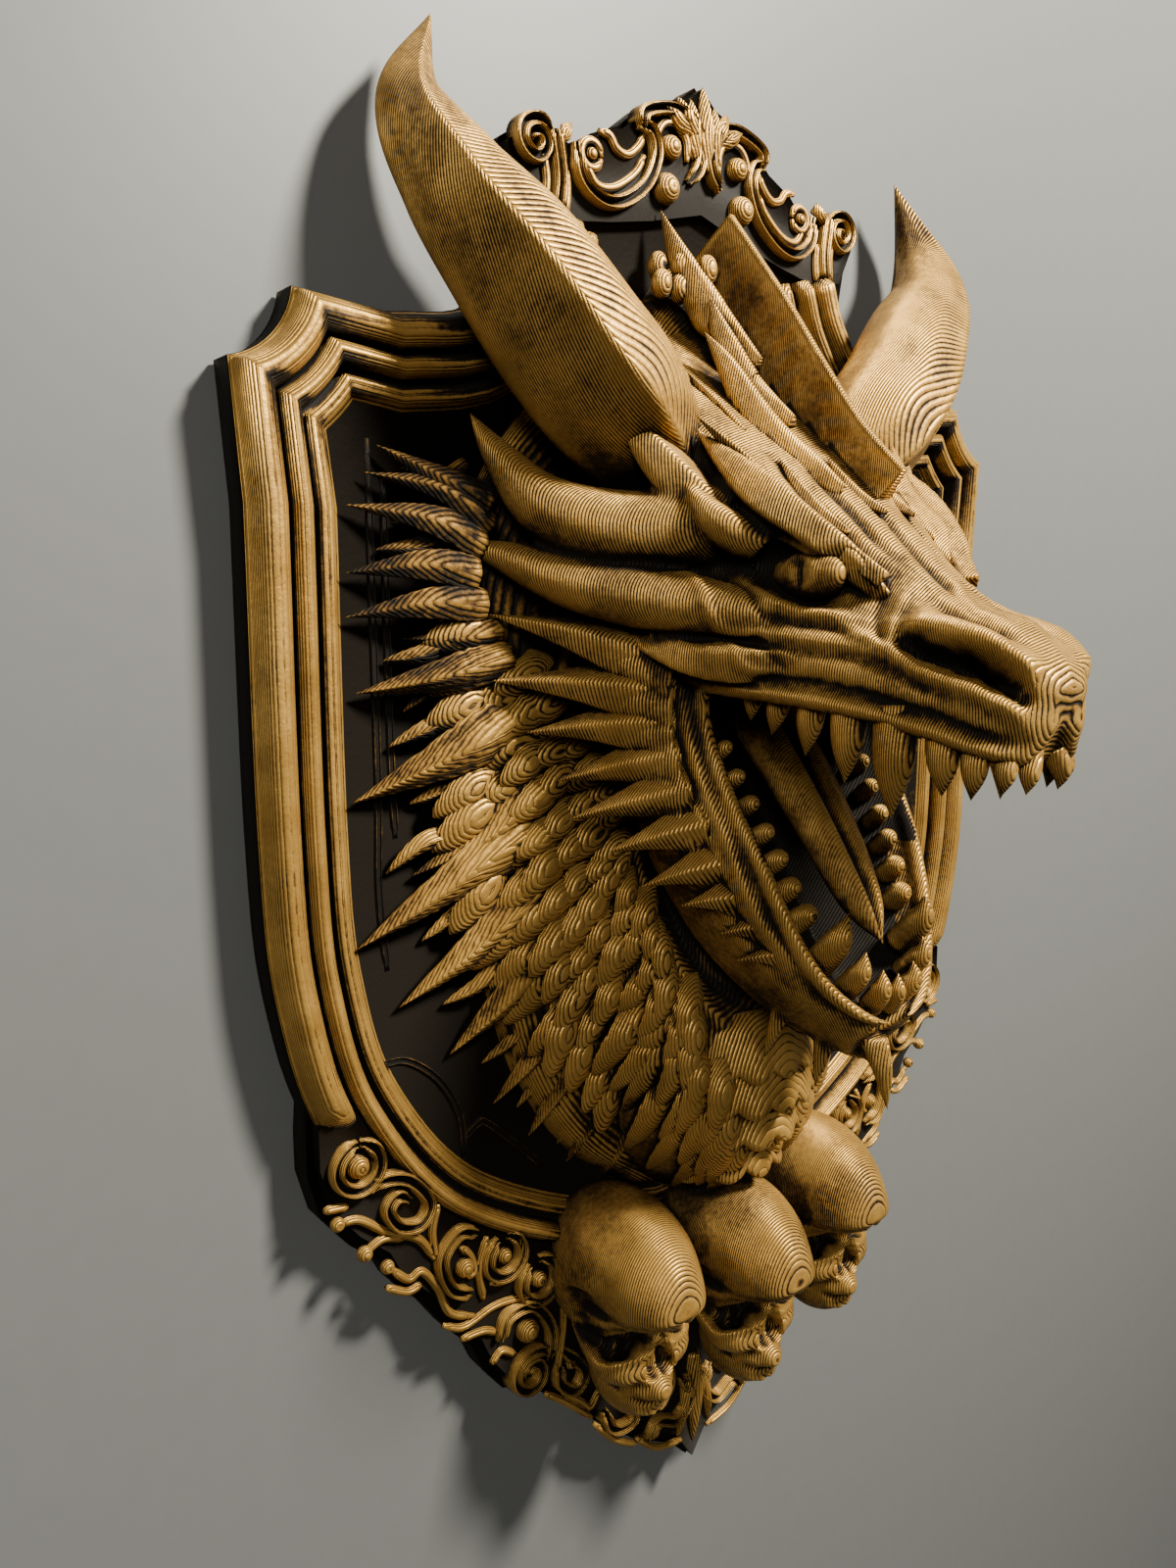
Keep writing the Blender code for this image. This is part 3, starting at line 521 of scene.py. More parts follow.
def band_scrolls():
    """Strips of the lower band's left half, from the frame down to the tip, then its fine lines."""
    rings = [arc((-56, -34.4), 2.8, 90, 440, 40), arc((-35.2, -53.2), 2.7, 110, 440, 36),
             arc((-29.6, -58.6), 2.9, 120, 450, 36), spiral((-31.2, -71.6), 3.4, 0.7, 20, 1.5)]
    strips = rings + splines([
        (60, (-54.5, -37.9), (-52.5, -37), (-49.2, -38.2), (-46.5, -41.8), (-47.9, -44.2), (-50.8, -43.6),
         (-52.2, -41), (-50.9, -39.6), (-49.2, -40.8)),
        (40, (-39.4, -48.5), (-42.3, -47.5), (-44.8, -50.2), (-43.5, -54.7), (-40.4, -56.4)),
        (40, (-36.1, -65), (-35, -61.9), (-31, -61.8), (-27.8, -66.2), (-28, -71)),
        (36, (-26, -70.3), (-22.2, -74.8), (-23.8, -77.3), (-26.3, -75.2), (-26.4, -72.4)),
        (36, (-9.9, -92), (-8, -89.6), (-4.2, -91), (-1.4, -88), (-3, -84.6)),
        (30, (-18.1, -83.4), (-17, -86.4), (-14.8, -87.2), (-12.9, -86.6), (-13, -84)),
    ])
    fine = splines([
        (36, (-58.7, -40.9), (-56, -41.2), (-52.3, -44), (-47.9, -46.5), (-45.6, -50)),
        (16, (-55.2, -45.5), (-52.8, -44.7), (-50, -45.6)),
        (20, (-45, -42.8), (-45.9, -46.2), (-45.5, -50)),
        (40, (-52.2, -48.6), (-49.6, -51.2), (-47.6, -50.9), (-45.3, -54), (-43.6, -58), (-39.9, -60)),
        (16, (-52.6, -51.2), (-49.8, -52.8), (-47.8, -52.6)),
        (16, (-41.8, -49.6), (-40.3, -51.6), (-39.8, -53.7), (-40.9, -54.2)),
        (20, (-37.8, -49.7), (-39, -53.5), (-38.5, -58.1)),
        (24, (-32.6, -49.9), (-32.2, -53.2), (-34.4, -56.6), (-37.4, -56.4)),
        (36, (-25.6, -62.6), (-31.5, -60.6), (-36.6, -59.8), (-41.6, -60.8), (-44.7, -59.4)),
        (16, (-42, -62.4), (-38.6, -62.6), (-36.6, -63.6)),
        (16, (-37.4, -67.8), (-35.8, -66.6), (-33.6, -68)),
        (20, (-25.2, -63.8), (-25.4, -68), (-26.6, -74)),
        (24, (-25.8, -77), (-22.6, -79.8), (-20.7, -81.6), (-19, -79.6)),
        (24, (-28.6, -76), (-25, -79), (-20.4, -83.4)),
        (20, (-20, -84.6), (-16, -89), (-12, -91.6)),
        (24, (-12, -90.7), (-7.8, -94.2), (-2.7, -95.4)),
        (16, (-6.4, -87.6), (-4.6, -85.4), (-4.8, -82.4)),
        (8, (-60.4, -38.6), (-57.4, -39)),
    ])
    return strips, fine


def flames():
    """The leaf at the top of the crest and the one at the shield's point."""
    shells = [leaf((0, 4.8, 89), (0, 5.0, 99.6), 1.6, 1.6, rows=20, around=24)]
    shells.append(leaf((0, 4.8, -82), (0, 5.0, -97), 1.5, 1.4, rows=20, around=24))
    places = [(-1.5, 92, -4.6, 97.3, 1.3, 1.3), (-3, 93, -7.6, 95.6, 1.2, 1.2),
              (-1.6, 90, -2.2, 97.6, 1.2, 1.2), (-1.5, -85, -3.4, -95, 1.0, 1.1),
              (-23, 89, -24.6, 86.5, 0.9, 1.0)]
    side = [leaf((root_x, 4.8, root_z), (tip_x, 5.0, tip_z), half_width, thick)
            for root_x, root_z, tip_x, tip_z, half_width, thick in places]
    return shells + both(side)


def scrollwork():
    """Scrolls on the crest and on the band round the point, with balls in their eyes."""
    shells = []
    for strips, fine in (crest_scrolls(), band_scrolls()):
        shells += [ribbon(line, BAND_DEPTH, 0.95, 1.55) for line in strips]
        shells += [bead(line, BAND_DEPTH, 0.55) for line in fine]
    balls = [((-6.2, 90.4), 1.6), ((-7, 85.2), 2.0), ((-19.4, 86.7), 0.8), ((-56, -34.4), 1.5),
             ((-35.2, -53.2), 1.1), ((-29.6, -58.6), 1.2), ((-31.6, -65.2), 1.7), ((-41.4, -52.6), 1.3),
             ((-58.8, -40.8), 0.9), ((-55.4, -45.7), 1.0), ((-52.4, -48.5), 0.9), ((-24.3, -73.2), 0.9)]
    shells += [globe((x, BAND_DEPTH + 0.3, z), (r, r, r), 20, 14) for (x, z), r in balls]
    return both(shells) + flames()


# The skulls


def near_direction(d, towards, width):
    return np.exp(-(np.linalg.norm(d - unit(np.array(towards, float)), axis=-1) / width) ** 2)


def skull_shape(d):
    """A round brain case with a brow ridge, cheekbones and hollow temples."""
    r = 1.0 - 0.12 * np.maximum(0.0, -d[..., 2]) ** 2
    r = r - 0.2 * np.clip(d[..., 1], 0, 1) ** 0.5 / (1 + np.exp((d[..., 2] + 0.2) / 0.025))
    for side in (-1, 1):
        r = r + 0.05 * near_direction(d, (side * 0.45, 0.88, -0.12), 0.28)
        r = r + 0.12 * near_direction(d, (side * 0.85, 0.5, -0.6), 0.28)
        r = r - 0.16 * near_direction(d, (side * 1.0, 0.3, -0.2), 0.28)
    return r


def skull(name, place):
    """One skull, shaped in the middle one's place and then moved to its own."""
    bone = [(-2.2, 19.4, -71), (-5.8, 17.2, -70.7), (-7.4, 10.6, -67.4)]
    cheekbones = both([spike(bone, [(1.8, 2.2), (1.9, 2.2)], (0, 0, 1), "round")])
    shells = [globe(SKULL_HOME, (8.7, 13.5, 11.5), 60, 44, skull_shape),
              globe((0, 13.5, -68.4), (6.3, 8.0, 5.6)),
              globe((0, 14.6, -74.6), (5.0, 6.8, 5.9)),
              globe((0, 20.4, -74.6), (2.0, 1.8, 2.0))]
    mesh = melt(name, shells + cheekbones, SKULL_GRAIN)
    carve(mesh, [
        # The face's hollow under the brow, the sockets and their rims.
        ([(-6.8, 17, -67.6), (-3.6, 21, -66.6), (0, 23, -66.4)], 2.4, -0.6, 3),
        ([(-6.1, 17.4, -68.1), (-3.8, 19.6, -66.9), (-1.7, 21.6, -65.8)], 1.5, -3.6, 6),
        ([(-9, 13, -65), (-7, 17, -64.4), (-4.4, 21.6, -63.2), (-1.6, 24.4, -63), (0, 25, -63.4)],
         0.8, 0.6, 2),
        ([(-7.6, 15.6, -69.4), (-5.8, 17.8, -70.3), (-3.6, 19.8, -69.2), (-1.6, 21.8, -67.8)], 0.6, 0.6, 2),
        # The nose.
        ([(-0.3, 23, -68.2), (-0.8, 21.8, -70.2), (-1.2, 21, -71.8)], 0.85, -2.8, 4),
        ([(-1.7, 21.8, -69), (-2.5, 20.6, -72), (-1.4, 20.8, -73.2)], 0.45, 0.5, 2),
        # Hollow temples and cheeks.
        ([(-8.6, 13.6, -66.6), (-8.9, 13, -60.5)], 2.2, -0.9, 2),
        ([(-5.4, 18, -72), (-5.2, 16, -75)], 1.3, -1.0, 2),
        ([(-4.6, 19, -75.4), (-2.4, 21.4, -76.4), (0, 22, -76.6)], 0.5, -0.5, 2),
        ([(-3.4, 19, -77.4), (0, 20.6, -78.4)], 0.5, 0.4, 2),
    ])
    points, _ = points_of(mesh)
    points[:, 1] = np.maximum(points[:, 1], 2.0)
    put(mesh, points + np.array(place) - SKULL_HOME)
    return mesh


# The neck and mane


def body(sections, power, around, rows):
    """A mound along the wall, through sections of (height, half width, depth)."""
    z, half, depth = spline(sections, rows).T
    a = np.linspace(0, np.pi, around)
    x = -half[:, None] * np.cos(a)
    d = 1.1 + (depth[:, None] - 1.1) * np.maximum(np.sin(a), 0) ** power
    return skin(np.stack([x, d, z[:, None] + 0 * a], -1))


def leaf(root, tip, half_width, thick, lift=0.8, curl=0.0, rows=14, around=16, barbs=3, point=0.75,
         kind="keel", ragged=0.0, shoulder=0.45):
    """A pointed scale, broadest near its root, with wavy lengthwise barbs if any.

    point sharpens its tip, and ragged roughens its edges."""
    root, tip = np.array(root, float), np.array(tip, float)
    along = tip - root
    sideways = unit(np.cross(along, np.array([0, 1.0, 0])))
    middle = root + along * 0.45 + np.array([0, lift, 0]) + sideways * curl
    t = np.linspace(0, 1, rows) ** (0.8 if kind == "dome" else 1.0)
    widths = np.maximum(half_width * 2 * (0.12 + 0.88 * t) ** shoulder * (1 - t) ** point, 0.03)
    heights = np.maximum(thick * (1 - t ** 3) ** 0.8, 0.03)
    if ragged:
        widths *= 1 + ragged * random.uniform(-1, 1, rows)
    outline = section(kind, around)
    rings = sweep(spline([root, middle, tip], rows), widths, heights, outline)
    if barbs:
        wave = np.sin(6 * t + random.uniform(0, 6))[:, None]
        ridges = np.cos(np.pi * barbs * outline[None, :, 0] + wave)
        rings[..., 1] += BARB * ridges * (1 - t[:, None]) ** 0.4 * (outline[:, 1] > 0)
    return skin(rings)


def ground(x, z):
    """Depth of the neck's skin over a place on the wall."""
    best = FIELD_DEPTH
    for sections, power in ((THROAT, THROAT_POWER), (BED, BED_POWER)):
        table = np.array(sections, float)
        half = np.interp(z, table[:, 0], table[:, 1])
        depth = np.interp(z, table[:, 0], table[:, 2])
        if abs(x) < half and table[0, 0] < z < table[-1, 0]:
            best = max(best, 1.1 + (depth - 1.1) * math.sqrt(1 - (x / half) ** 2) ** power)
    return best


def blades():
    """The mane's outer blades: long ones, by tip, root and half width, and short ones under them, by tip."""
    places = [
        (-50.2, 49.2, -37, 43.5, 1.9), (-51.9, 46.1, -37, 40.5, 1.8), (-54.2, 42.4, -38, 38.5, 2.1),
        (-54.6, 34.9, -39, 35, 2.2), (-54.8, 30, -38, 31.5, 2.2), (-47.4, 27.5, -36, 28.5, 1.7),
        (-53.8, 21.4, -35, 25, 2.6), (-54.5, 8.9, -33, 18.5, 3.6), (-47, -0.7, -31, 9.5, 3.3),
        (-54.6, -8.4, -29, 5, 3.7), (-49.3, -16.6, -28, -2, 3.5), (-42.3, -24.2, -26, -7, 3.7),
        (-35.9, -32.4, -24, -16, 2.9), (-30.4, -38.4, -21, -23, 2.7), (-24, -44, -18, -29, 2.7),
        (-18.6, -48.6, -14, -34, 2.7), (-12.6, -51.2, -10, -38, 2.6),
    ]
    short = [(-47, 47), (-48.5, 40.5), (-50.5, 37.6), (-50, 25), (-47.5, 19), (-49.5, 15), (-47, 8),
             (-50.4, 0), (-45.8, -9), (-43, -17.6), (-37.4, -26.6), (-32, -34), (-25.4, -41)]
    shells = []
    for tip_x, tip_z, root_x, root_z, half in places:
        thick, barbs, bend = (0.9, 0, 1.3) if half < WISP else (1.9, 4, 0.6)
        shells.append(leaf((root_x, 8.0, root_z), (tip_x, 4.5, tip_z), half * 1.05, thick, 0.9,
                           random.normal(0, bend), 30, 30, barbs, 1.05, ragged=0.05))
    for x, z in short:
        root = (x + 8, 5.6, z * 0.93 + 4)
        shells.append(leaf(root, (x, 4.3, z), 1.3, 1.0, 0.5, random.normal(0, 0.8), 18, 16, 3))
    return shells


def scale_row(line, count, size):
    """Scales with their tips along a flat line on the neck, their headings turning downwards along it."""
    first, last = SCALE_HEADINGS
    shells = []
    for i, place in enumerate(spline(line, count)):
        x, z = place + random.normal(0, 0.35, 2)
        angle = math.radians(first + (last - first) * i / (count - 1) + random.normal(0, 5))
        length = size * random.uniform(0.9, 1.2)
        root_x, root_z = x - length * math.cos(angle), z - length * math.sin(angle)
        root = (root_x, ground(root_x, root_z) - 0.7, root_z)
        tip = (x, ground(x, z) + SCALE_TIP, z)
        shells.append(leaf(root, tip, length * 0.31, 1.5, 1.0, 0, 18, 20, 0, 0.6, "dome", 0.05, 0.7))
    return shells


def mane():
    """Rows of scales that grow smaller inwards: how many, how long, and the line their tips follow."""
    rows = [
        (19, 10, (-46, 27), (-45, 14), (-44.5, 1), (-41, -12), (-34, -22.5), (-28, -31.5), (-20, -40),
         (-9, -50)),
        (20, 9.5, (-42, 23), (-41, 9), (-38.5, -4), (-33.5, -15.5), (-27, -26), (-20, -35), (-12, -45),
         (-5, -51)),
        (18, 9, (-38, 21), (-36.5, 6), (-33, -7), (-27.5, -18.5), (-21, -29), (-13.5, -39.5), (-6.5, -48)),
        (15, 8.5, (-34, 18), (-32, 3), (-28, -9), (-22.5, -20), (-16.5, -30), (-10.5, -39)),
        (12, 8, (-30, 13), (-28, 1), (-24, -10), (-19, -20), (-14, -28)),
        (8, 7, (-26.5, 7), (-24, -3), (-20.5, -11), (-16.5, -18)),
    ]
    shells = []
    for count, size, *line in rows:
        shells += scale_row(line, count, size)
    return shells


def belly_plates():
    """Overlapping plates across the front of the neck, whose scalloped lower edges stand proud."""
    plates = [(-48.5, 12.5, 17.2, 5), (-43, 15, 19.8, 6), (-37.6, 16.5, 21.6, 7), (-32.4, 17, 21.9, 7)]
    profile = [(0.9, -2.5), (0.1, 0.2), (0, 0.9), (0.25, 1.35), (0.9, 1.3), (2.2, 1.0), (4, 0.5), (6, -0.1),
               (8, -1.2)]
    a = np.radians(np.linspace(28, 152, 90))
    shells = []
    for low, half, depth, lobes in plates:
        lobe = np.abs(np.sin(lobes * (a - a[0]) * np.pi / (a[-1] - a[0])))
        rings = []
        for height, rise in profile:
            scallop = 1.5 * lobe * max(0, 1 - height / 8)
            reach = (depth + rise + 0.35 * lobe) * np.sin(a) ** 0.8
            outer = np.stack([-half * np.cos(a), reach, low + height + 1.5 - scallop], 1)
            inner = outer[::-1] * np.array([0.8, 1, 1]) - np.array([0, 4.5, 0])
            rings.append(np.vstack([outer, inner]))
        shells.append(skin(rings))
    return shells


def neck():
    mesh = mesh_of("neck", [body(THROAT, THROAT_POWER, 160, 200), body(BED, BED_POWER, 60, 70)])
    carve(mesh, [
        ([(-19, 15, 2), (-17.5, 16.5, -8), (-14, 18.5, -17), (-8, 20.5, -25)], 1.0, 0.7, 2),
        ([(-17, 16, 4), (-15, 18, -7), (-11.5, 19.5, -15.5), (-5, 21, -22.5)], 0.9, -0.6, 2),
        ([(-14.5, 17, 5), (-12.5, 18.8, -5), (-8.5, 20, -13), (-2, 21, -19.5)], 1.0, 0.6, 2),
        ([(-22, 13, -2), (-20, 15, -11), (-16.5, 17, -20), (-11, 19.5, -28)], 0.9, -0.6, 2),
        ([(-7, 20, -24), (-4, 21.5, -28.5)], 1.0, 0.6, 2),
    ])
    return mesh


# The head


def head_guides():
    """Guide curves of the left side, back of the skull to nose, bridge first and palate last."""
    bridge = [(0, 4, 74), (0, 16, 62), (0, 26, 53), (0, 35.5, 44.5), (0, 43.6, 36.8), (0, 50.4, 31),
              (0, 55.4, 29.4), (0, 60.0, 25.4), (0, 61.4, 22.4)]
    forehead = [(-8, 4, 70), (-7.5, 16, 60), (-6.5, 26, 51), (-6, 35.5, 42.8), (-4.6, 43.6, 35),
                (-4.4, 50.4, 30.2), (-4.2, 55.4, 28.3), (-3.6, 59.6, 24.9), (-2.2, 61.2, 22.1)]
    brow = [(-17, 4, 62), (-17, 16, 56), (-15.5, 25, 48), (-13, 32.6, 41), (-8, 40.4, 34.8), (-7.4, 48, 30),
            (-6.8, 55.0, 27), (-4.8, 59.2, 23.8), (-2.8, 61.0, 21.6)]
    eye = [(-21, 4, 54), (-19, 16, 47), (-16, 25, 40), (-14, 33, 36), (-10, 41, 31.5), (-8.8, 48.2, 27.2),
           (-8.2, 55.4, 24.3), (-5.6, 59.2, 21.4), (-3.0, 60.8, 20.0)]
    cheek = [(-24, 4, 46), (-22, 15, 38.5), (-19, 25, 32), (-16.5, 34, 28.8), (-13, 42, 26.2),
             (-11, 49.4, 23.4), (-8.7, 56.0, 20.2), (-5.6, 59.4, 18.1), (-3.0, 60.8, 18.1)]
    lip = [(-23, 5, 36), (-20.5, 15, 28), (-18, 25, 23.6), (-16.4, 34, 22), (-13.4, 43.2, 20.6),
           (-11, 50.6, 18.4), (-8.2, 56.0, 16), (-5.2, 58.6, 14.6), (-2.8, 59.8, 15.8)]
    gum = [(-19, 6, 31), (-17, 16, 23), (-15.4, 26, 20.6), (-14, 35, 20), (-11, 44.2, 18.8),
           (-8.8, 51, 16.6), (-7, 55, 14.8), (-4.2, 57, 13.6), (-2.6, 58.4, 14.6)]
    palate = [(0, 6, 33), (0, 16, 27), (0, 26, 25), (0, 35, 24), (0, 44, 22.4), (0, 50, 19.6), (0, 54.4, 17),
              (0, 56.8, 14.2), (0, 58.2, 14.6)]
    return [bridge, forehead, brow, eye, cheek, lip, gum, palate]


def jaw_guides():
    """Guide curves of the lower jaw's left side, hinge to chin: mouth floor, rim, side and keel."""
    floor = [(0, 11, 17), (0, 14, 9), (0, 19, 1), (0, 25, -9), (0, 31, -16), (0, 36.5, -19.5)]
    inside = [(-14.2, 20.5, 22), (-13.2, 22.8, 11), (-12.4, 27.6, 2), (-10.4, 31.6, -7.6),
              (-7.4, 34.4, -14.4), (-2.6, 38.2, -18.8)]
    rim = [(-17, 22, 23), (-16.6, 24.8, 12), (-15.4, 30, 3), (-13.2, 34, -8), (-9.8, 36.4, -15.6),
           (-3.8, 39.8, -20)]
    outside = [(-21, 17, 26), (-21, 18.5, 13), (-20, 21, 3), (-17, 26.5, -7), (-12.4, 31.6, -15.4),
               (-5, 37.4, -22.6)]
    under = [(-17, 4, 16), (-16, 8, 6), (-14, 13, -5), (-11.5, 19, -14), (-8, 27, -20.6), (-3, 35.6, -25)]
    keel = [(0, 3, 12), (0, 6, 2), (0, 11, -8), (0, 18, -16.5), (0, 27, -22.4), (0, 36, -26)]
    return [floor, inside, rim, outside, under, keel]


def guided(guides, rows, across):
    """A closed skin symmetrical about X = 0, through guide curves on its left that run from back to front."""
    lines = np.array([spline(g, rows) for g in guides])
    rings = []
    for i in range(rows):
        left = spline(lines[:, i], across)
        left[0, 0] = left[-1, 0] = 0
        right = left[1:-1][::-1] * LEFT_TO_RIGHT
        rings.append(np.vstack([left, right]))
    return skin(rings)


def face_spikes():
    """Spikes of the brow and cheeks, base first."""
    return both([
        spike([(-8.5, 43, 33.5), (-13.2, 36, 39.6), (-15.6, 29.5, 44.6), (-17.5, 21.4, 52.5)],
              [(1.6, 1.6), (2.8, 2.4), (3.0, 2.8)], (0, 1, 0.4), "diamond", 40, 20),
        spike([(-15, 30.5, 37.5), (-19.8, 27.6, 41), (-21.8, 24, 45.8)],
              [(2.6, 2.6), (2.0, 2.0)], (0, 1, 0), "round"),
        spike([(-18.5, 24, 43), (-23.6, 20.6, 49.6), (-27, 17.6, 55.4)],
              [(3.8, 3.2), (2.5, 2.2)], (0, 1, 0), "keel", 30, 24),
        spike([(-15, 25, 41), (-24, 18, 39.8), (-31.5, 12, 42.6), (-36, 8.4, 48.5), (-38, 4.6, 54.4)],
              [(5.4, 5.0), (5.0, 4.8), (3.9, 3.8), (2.0, 2.0)], (0, 1, 0), "round", 50, 28),
        spike([(-14, 32, 29.5), (-23, 21.5, 32), (-30, 14, 34.2), (-36, 8.4, 37.2), (-41, 4.4, 39)],
              [(3.0, 3.2), (3.9, 3.6), (3.4, 3.0), (1.8, 1.8)], (0, 1, 0.2), "round", 50, 28),
        spike([(-14, 35, 24.5), (-20.5, 25, 25.2), (-25, 14.6, 28.4)],
              [(2.8, 3.0), (2.8, 2.4)], (0, 1, 0.3)),
    ])


def ridge_spike(crest, half_width, height, up=(0, 0.75, 0.66)):
    """A spike whose sharp upper edge runs along the crest, from its buried root to its tip."""
    count = 36
    t = np.linspace(0, 1, count)
    swell = np.maximum((0.3 + 0.7 * np.minimum(t / 0.35, 1)) * (1 - t ** 2.4), 0.01)
    up = unit(np.array(up, float))
    path = spline(crest, count) - up * (height * swell)[:, None]
    return skin(sweep(path, half_width * swell, height * swell, section("keel", 26), up))


def crown():
    """Sharp spikes that lie back over the forehead, the brow's edge, and the small bumps at the back."""
    leaning = (-0.45, 0.75, 0.5)
    shells = [
        ridge_spike([(-3.6, 20, 62), (-5, 14.6, 69.9), (-7, 10.2, 76.6), (-8, 5.6, 82.5)], 1.9, 4.2),
        ridge_spike([(-3.8, 26, 54), (-4.5, 20.4, 60), (-5.4, 16.6, 65.6), (-6, 12.6, 70.9)], 2.3, 4.2),
        ridge_spike([(-5, 35, 44.8), (-5.5, 31.4, 48.6), (-6.5, 27, 52.6), (-7.5, 23.4, 56.8),
                     (-8.5, 19.3, 61.9), (-9, 14.9, 65.4)], 2.4, 4.4),
        ridge_spike([(-9.4, 28.6, 47.4), (-10.5, 24.2, 51.9), (-11.5, 20.1, 56.1), (-12.5, 15.5, 60)],
                    2.0, 3.6, leaning),
        ridge_spike([(-6.4, 44.2, 30.4), (-10.5, 41.9, 35.7), (-12, 39.9, 38.4), (-13, 36.4, 41.6),
                     (-14, 31, 45.8), (-16, 27.6, 49.4), (-18.6, 23.2, 53.2)], 2.6, 3.4, leaning),
        ridge_spike([(-2.6, 39, 42), (-3.2, 35, 45), (-3.6, 30.4, 49)], 1.0, 1.6),
        ridge_spike([(-8.2, 38, 39.6), (-8.8, 33.6, 43.4), (-9.4, 28, 48.6)], 1.2, 1.8),
    ]
    bumps = [(-9, 6.2, 75.1), (-7, 8.5, 74.9), (-7.5, 8.7, 72), (-5.5, 10.4, 72), (-5, 11.2, 74.2),
             (-10, 8, 72.4)]
    shells += [globe(place, (1.4, 1.4, 1.9), 18, 12) for place in bumps]
    return both(shells)


def head():
    shells = [guided(head_guides(), 70, 70)] + face_spikes()
    mesh = melt("head", shells, HEAD_GRAIN)
    carve(mesh, [
        # The eye's hollow, its lids, and the folds under it.
        ([(-14.8, 28, 36.4), (-14.8, 35.2, 34.8), (-13, 42.6, 32.4)], 2.4, -1.8, 3),
        ([(-15.5, 27, 33), (-15.6, 35, 31.2), (-12.6, 43.6, 30.6)], 0.7, 0.6, 2),
        ([(-16.4, 26.4, 31.6), (-16, 35, 29.4), (-12.6, 43.4, 28.8)], 0.5, -0.35, 2),
        ([(-16.8, 27, 30), (-16.4, 35, 27.8), (-13, 43, 27)], 0.6, 0.3, 2),
        ([(-17.2, 28, 28.4), (-16.4, 36, 26.2), (-13, 42.6, 25.2)], 0.5, -0.3, 2),
        ([(-14.4, 27.4, 39.6), (-14.2, 34.6, 38.4), (-11.6, 41.6, 35)], 0.7, 0.7, 2),
        # The nostril's slit and its rims.
        ([(-9, 46.6, 26.4), (-9.6, 50, 26.2), (-9.2, 54, 25.6), (-7.8, 57.4, 23.8), (-6.2, 59.4, 21.4)],
         0.85, -3.0, 4),
        ([(-9.4, 52, 25.8), (-8.6, 55.6, 24.6), (-7.2, 58.2, 22.8)], 1.35, -2.4, 4),
        ([(-8.4, 44.5, 28), (-8.8, 49, 28.9), (-8, 54.6, 28), (-6.4, 58.6, 25.4), (-5, 60.4, 22.4)],
         1.5, 1.7, 2),
        ([(-10.8, 47, 24.2), (-10.4, 52, 23.2), (-8.4, 57, 21), (-6.2, 59.8, 18.8)], 0.9, 0.8, 2),
        ([(-5.4, 47, 31), (-5.4, 53, 30), (-4.4, 57.6, 27.6)], 0.9, -0.8, 2),
        # Folds across the snout and along its side.
        ([(-6.8, 42.6, 34), (-10.4, 43.6, 30.4), (-12.4, 45, 27)], 0.6, -0.3, 2),
        ([(-5.6, 44.6, 32.8), (-9.4, 45.2, 29.6), (-11.8, 46.6, 26)], 0.6, 0.3, 2),
        ([(-12.6, 40, 29), (-12, 44.6, 27.4), (-11.2, 49, 24.6)], 0.7, 0.5, 2),
        ([(-13.6, 40, 26), (-12, 46.4, 24.4), (-10.6, 52, 21.8)], 0.8, -0.5, 2),
        ([(-0.6, 46, 34), (-2.4, 50, 31.4), (-3, 55, 29.4)], 0.7, 0.5, 2),
        # Muscle folds that run from the cheek spikes forward.
        ([(-22, 22, 33), (-18, 28.6, 29.6), (-15.6, 35, 26)], 0.8, 0.45, 2),
        ([(-22, 23, 29), (-17.6, 29.4, 27), (-15.4, 36, 24.2)], 0.6, -0.4, 2),
        ([(-20, 24, 26.4), (-17.2, 30, 24.6), (-15, 37, 22.8)], 0.7, 0.35, 2),
        ([(-26, 18, 37), (-20, 23.6, 35.4), (-17, 27.4, 33.6)], 0.8, -0.5, 2),
        # The lip's bead and the groove above it.
        ([(-17, 24, 21.8), (-15.8, 34.4, 21.2), (-13.6, 42.6, 19.8), (-11.2, 50.2, 17.8), (-8.6, 56, 15.8),
          (-5, 58.6, 14.8)], 0.9, 0.9, 2),
        ([(-17.4, 25, 24), (-16.4, 34.4, 23), (-13.8, 43, 21.6), (-11.2, 50.6, 19.6), (-9, 56.2, 17.4),
          (-5.4, 59.2, 16.6)], 0.7, -0.5, 2),
        # Low ridges between the forehead's spikes.
        ([(-6.8, 30, 48), (-6.4, 36, 42.6), (-5.6, 42.6, 36.8)], 0.6, -0.6, 2),
        ([(-9.8, 27, 48.6), (-9.6, 33.4, 43), (-8, 40, 37.2)], 0.6, -0.6, 2),
        ([(-2.4, 37, 43.4), (-2.4, 44, 37), (-2.6, 50, 32)], 0.6, -0.5, 2),
    ])
    return mesh


def eyes():
    """Eyeballs with a slit pupil sunk in them."""
    mesh = mesh_of("eyes", both([globe((-12.0, 35.3, 34.6), (2.7, 5.0, 3.1), 48, 36)]))
    carve(mesh, [
        ([(-14.6, 35.6, 36.8), (-14.8, 35.8, 34.8), (-14.6, 36, 32.6)], 0.5, -0.5, 2),
        ([(-14.4, 33, 35), (-14.2, 35.6, 37), (-14.2, 38, 34.6), (-14.2, 35.8, 32.4)], 0.4, 0.25, 2),
    ])
    return mesh


def horns():
    """Horns with a crease along the top and a flat lower face."""
    path = spline([(-11, 14, 45), (-22.5, 15.7, 54), (-30, 15, 61), (-36.5, 13.2, 69), (-43, 10.6, 77),
                   (-46, 6.6, 86), (-42, 4.8, 96.4)], 110)
    widths = taper([5.5, 9.2, 9.4, 8.6, 6.4, 3.8], 110)
    heights = taper([4.0, 8.2, 8.8, 8.0, 6.2, 3.8], 110)
    return both([skin(sweep(path, widths, heights, section("horn", 72)))])


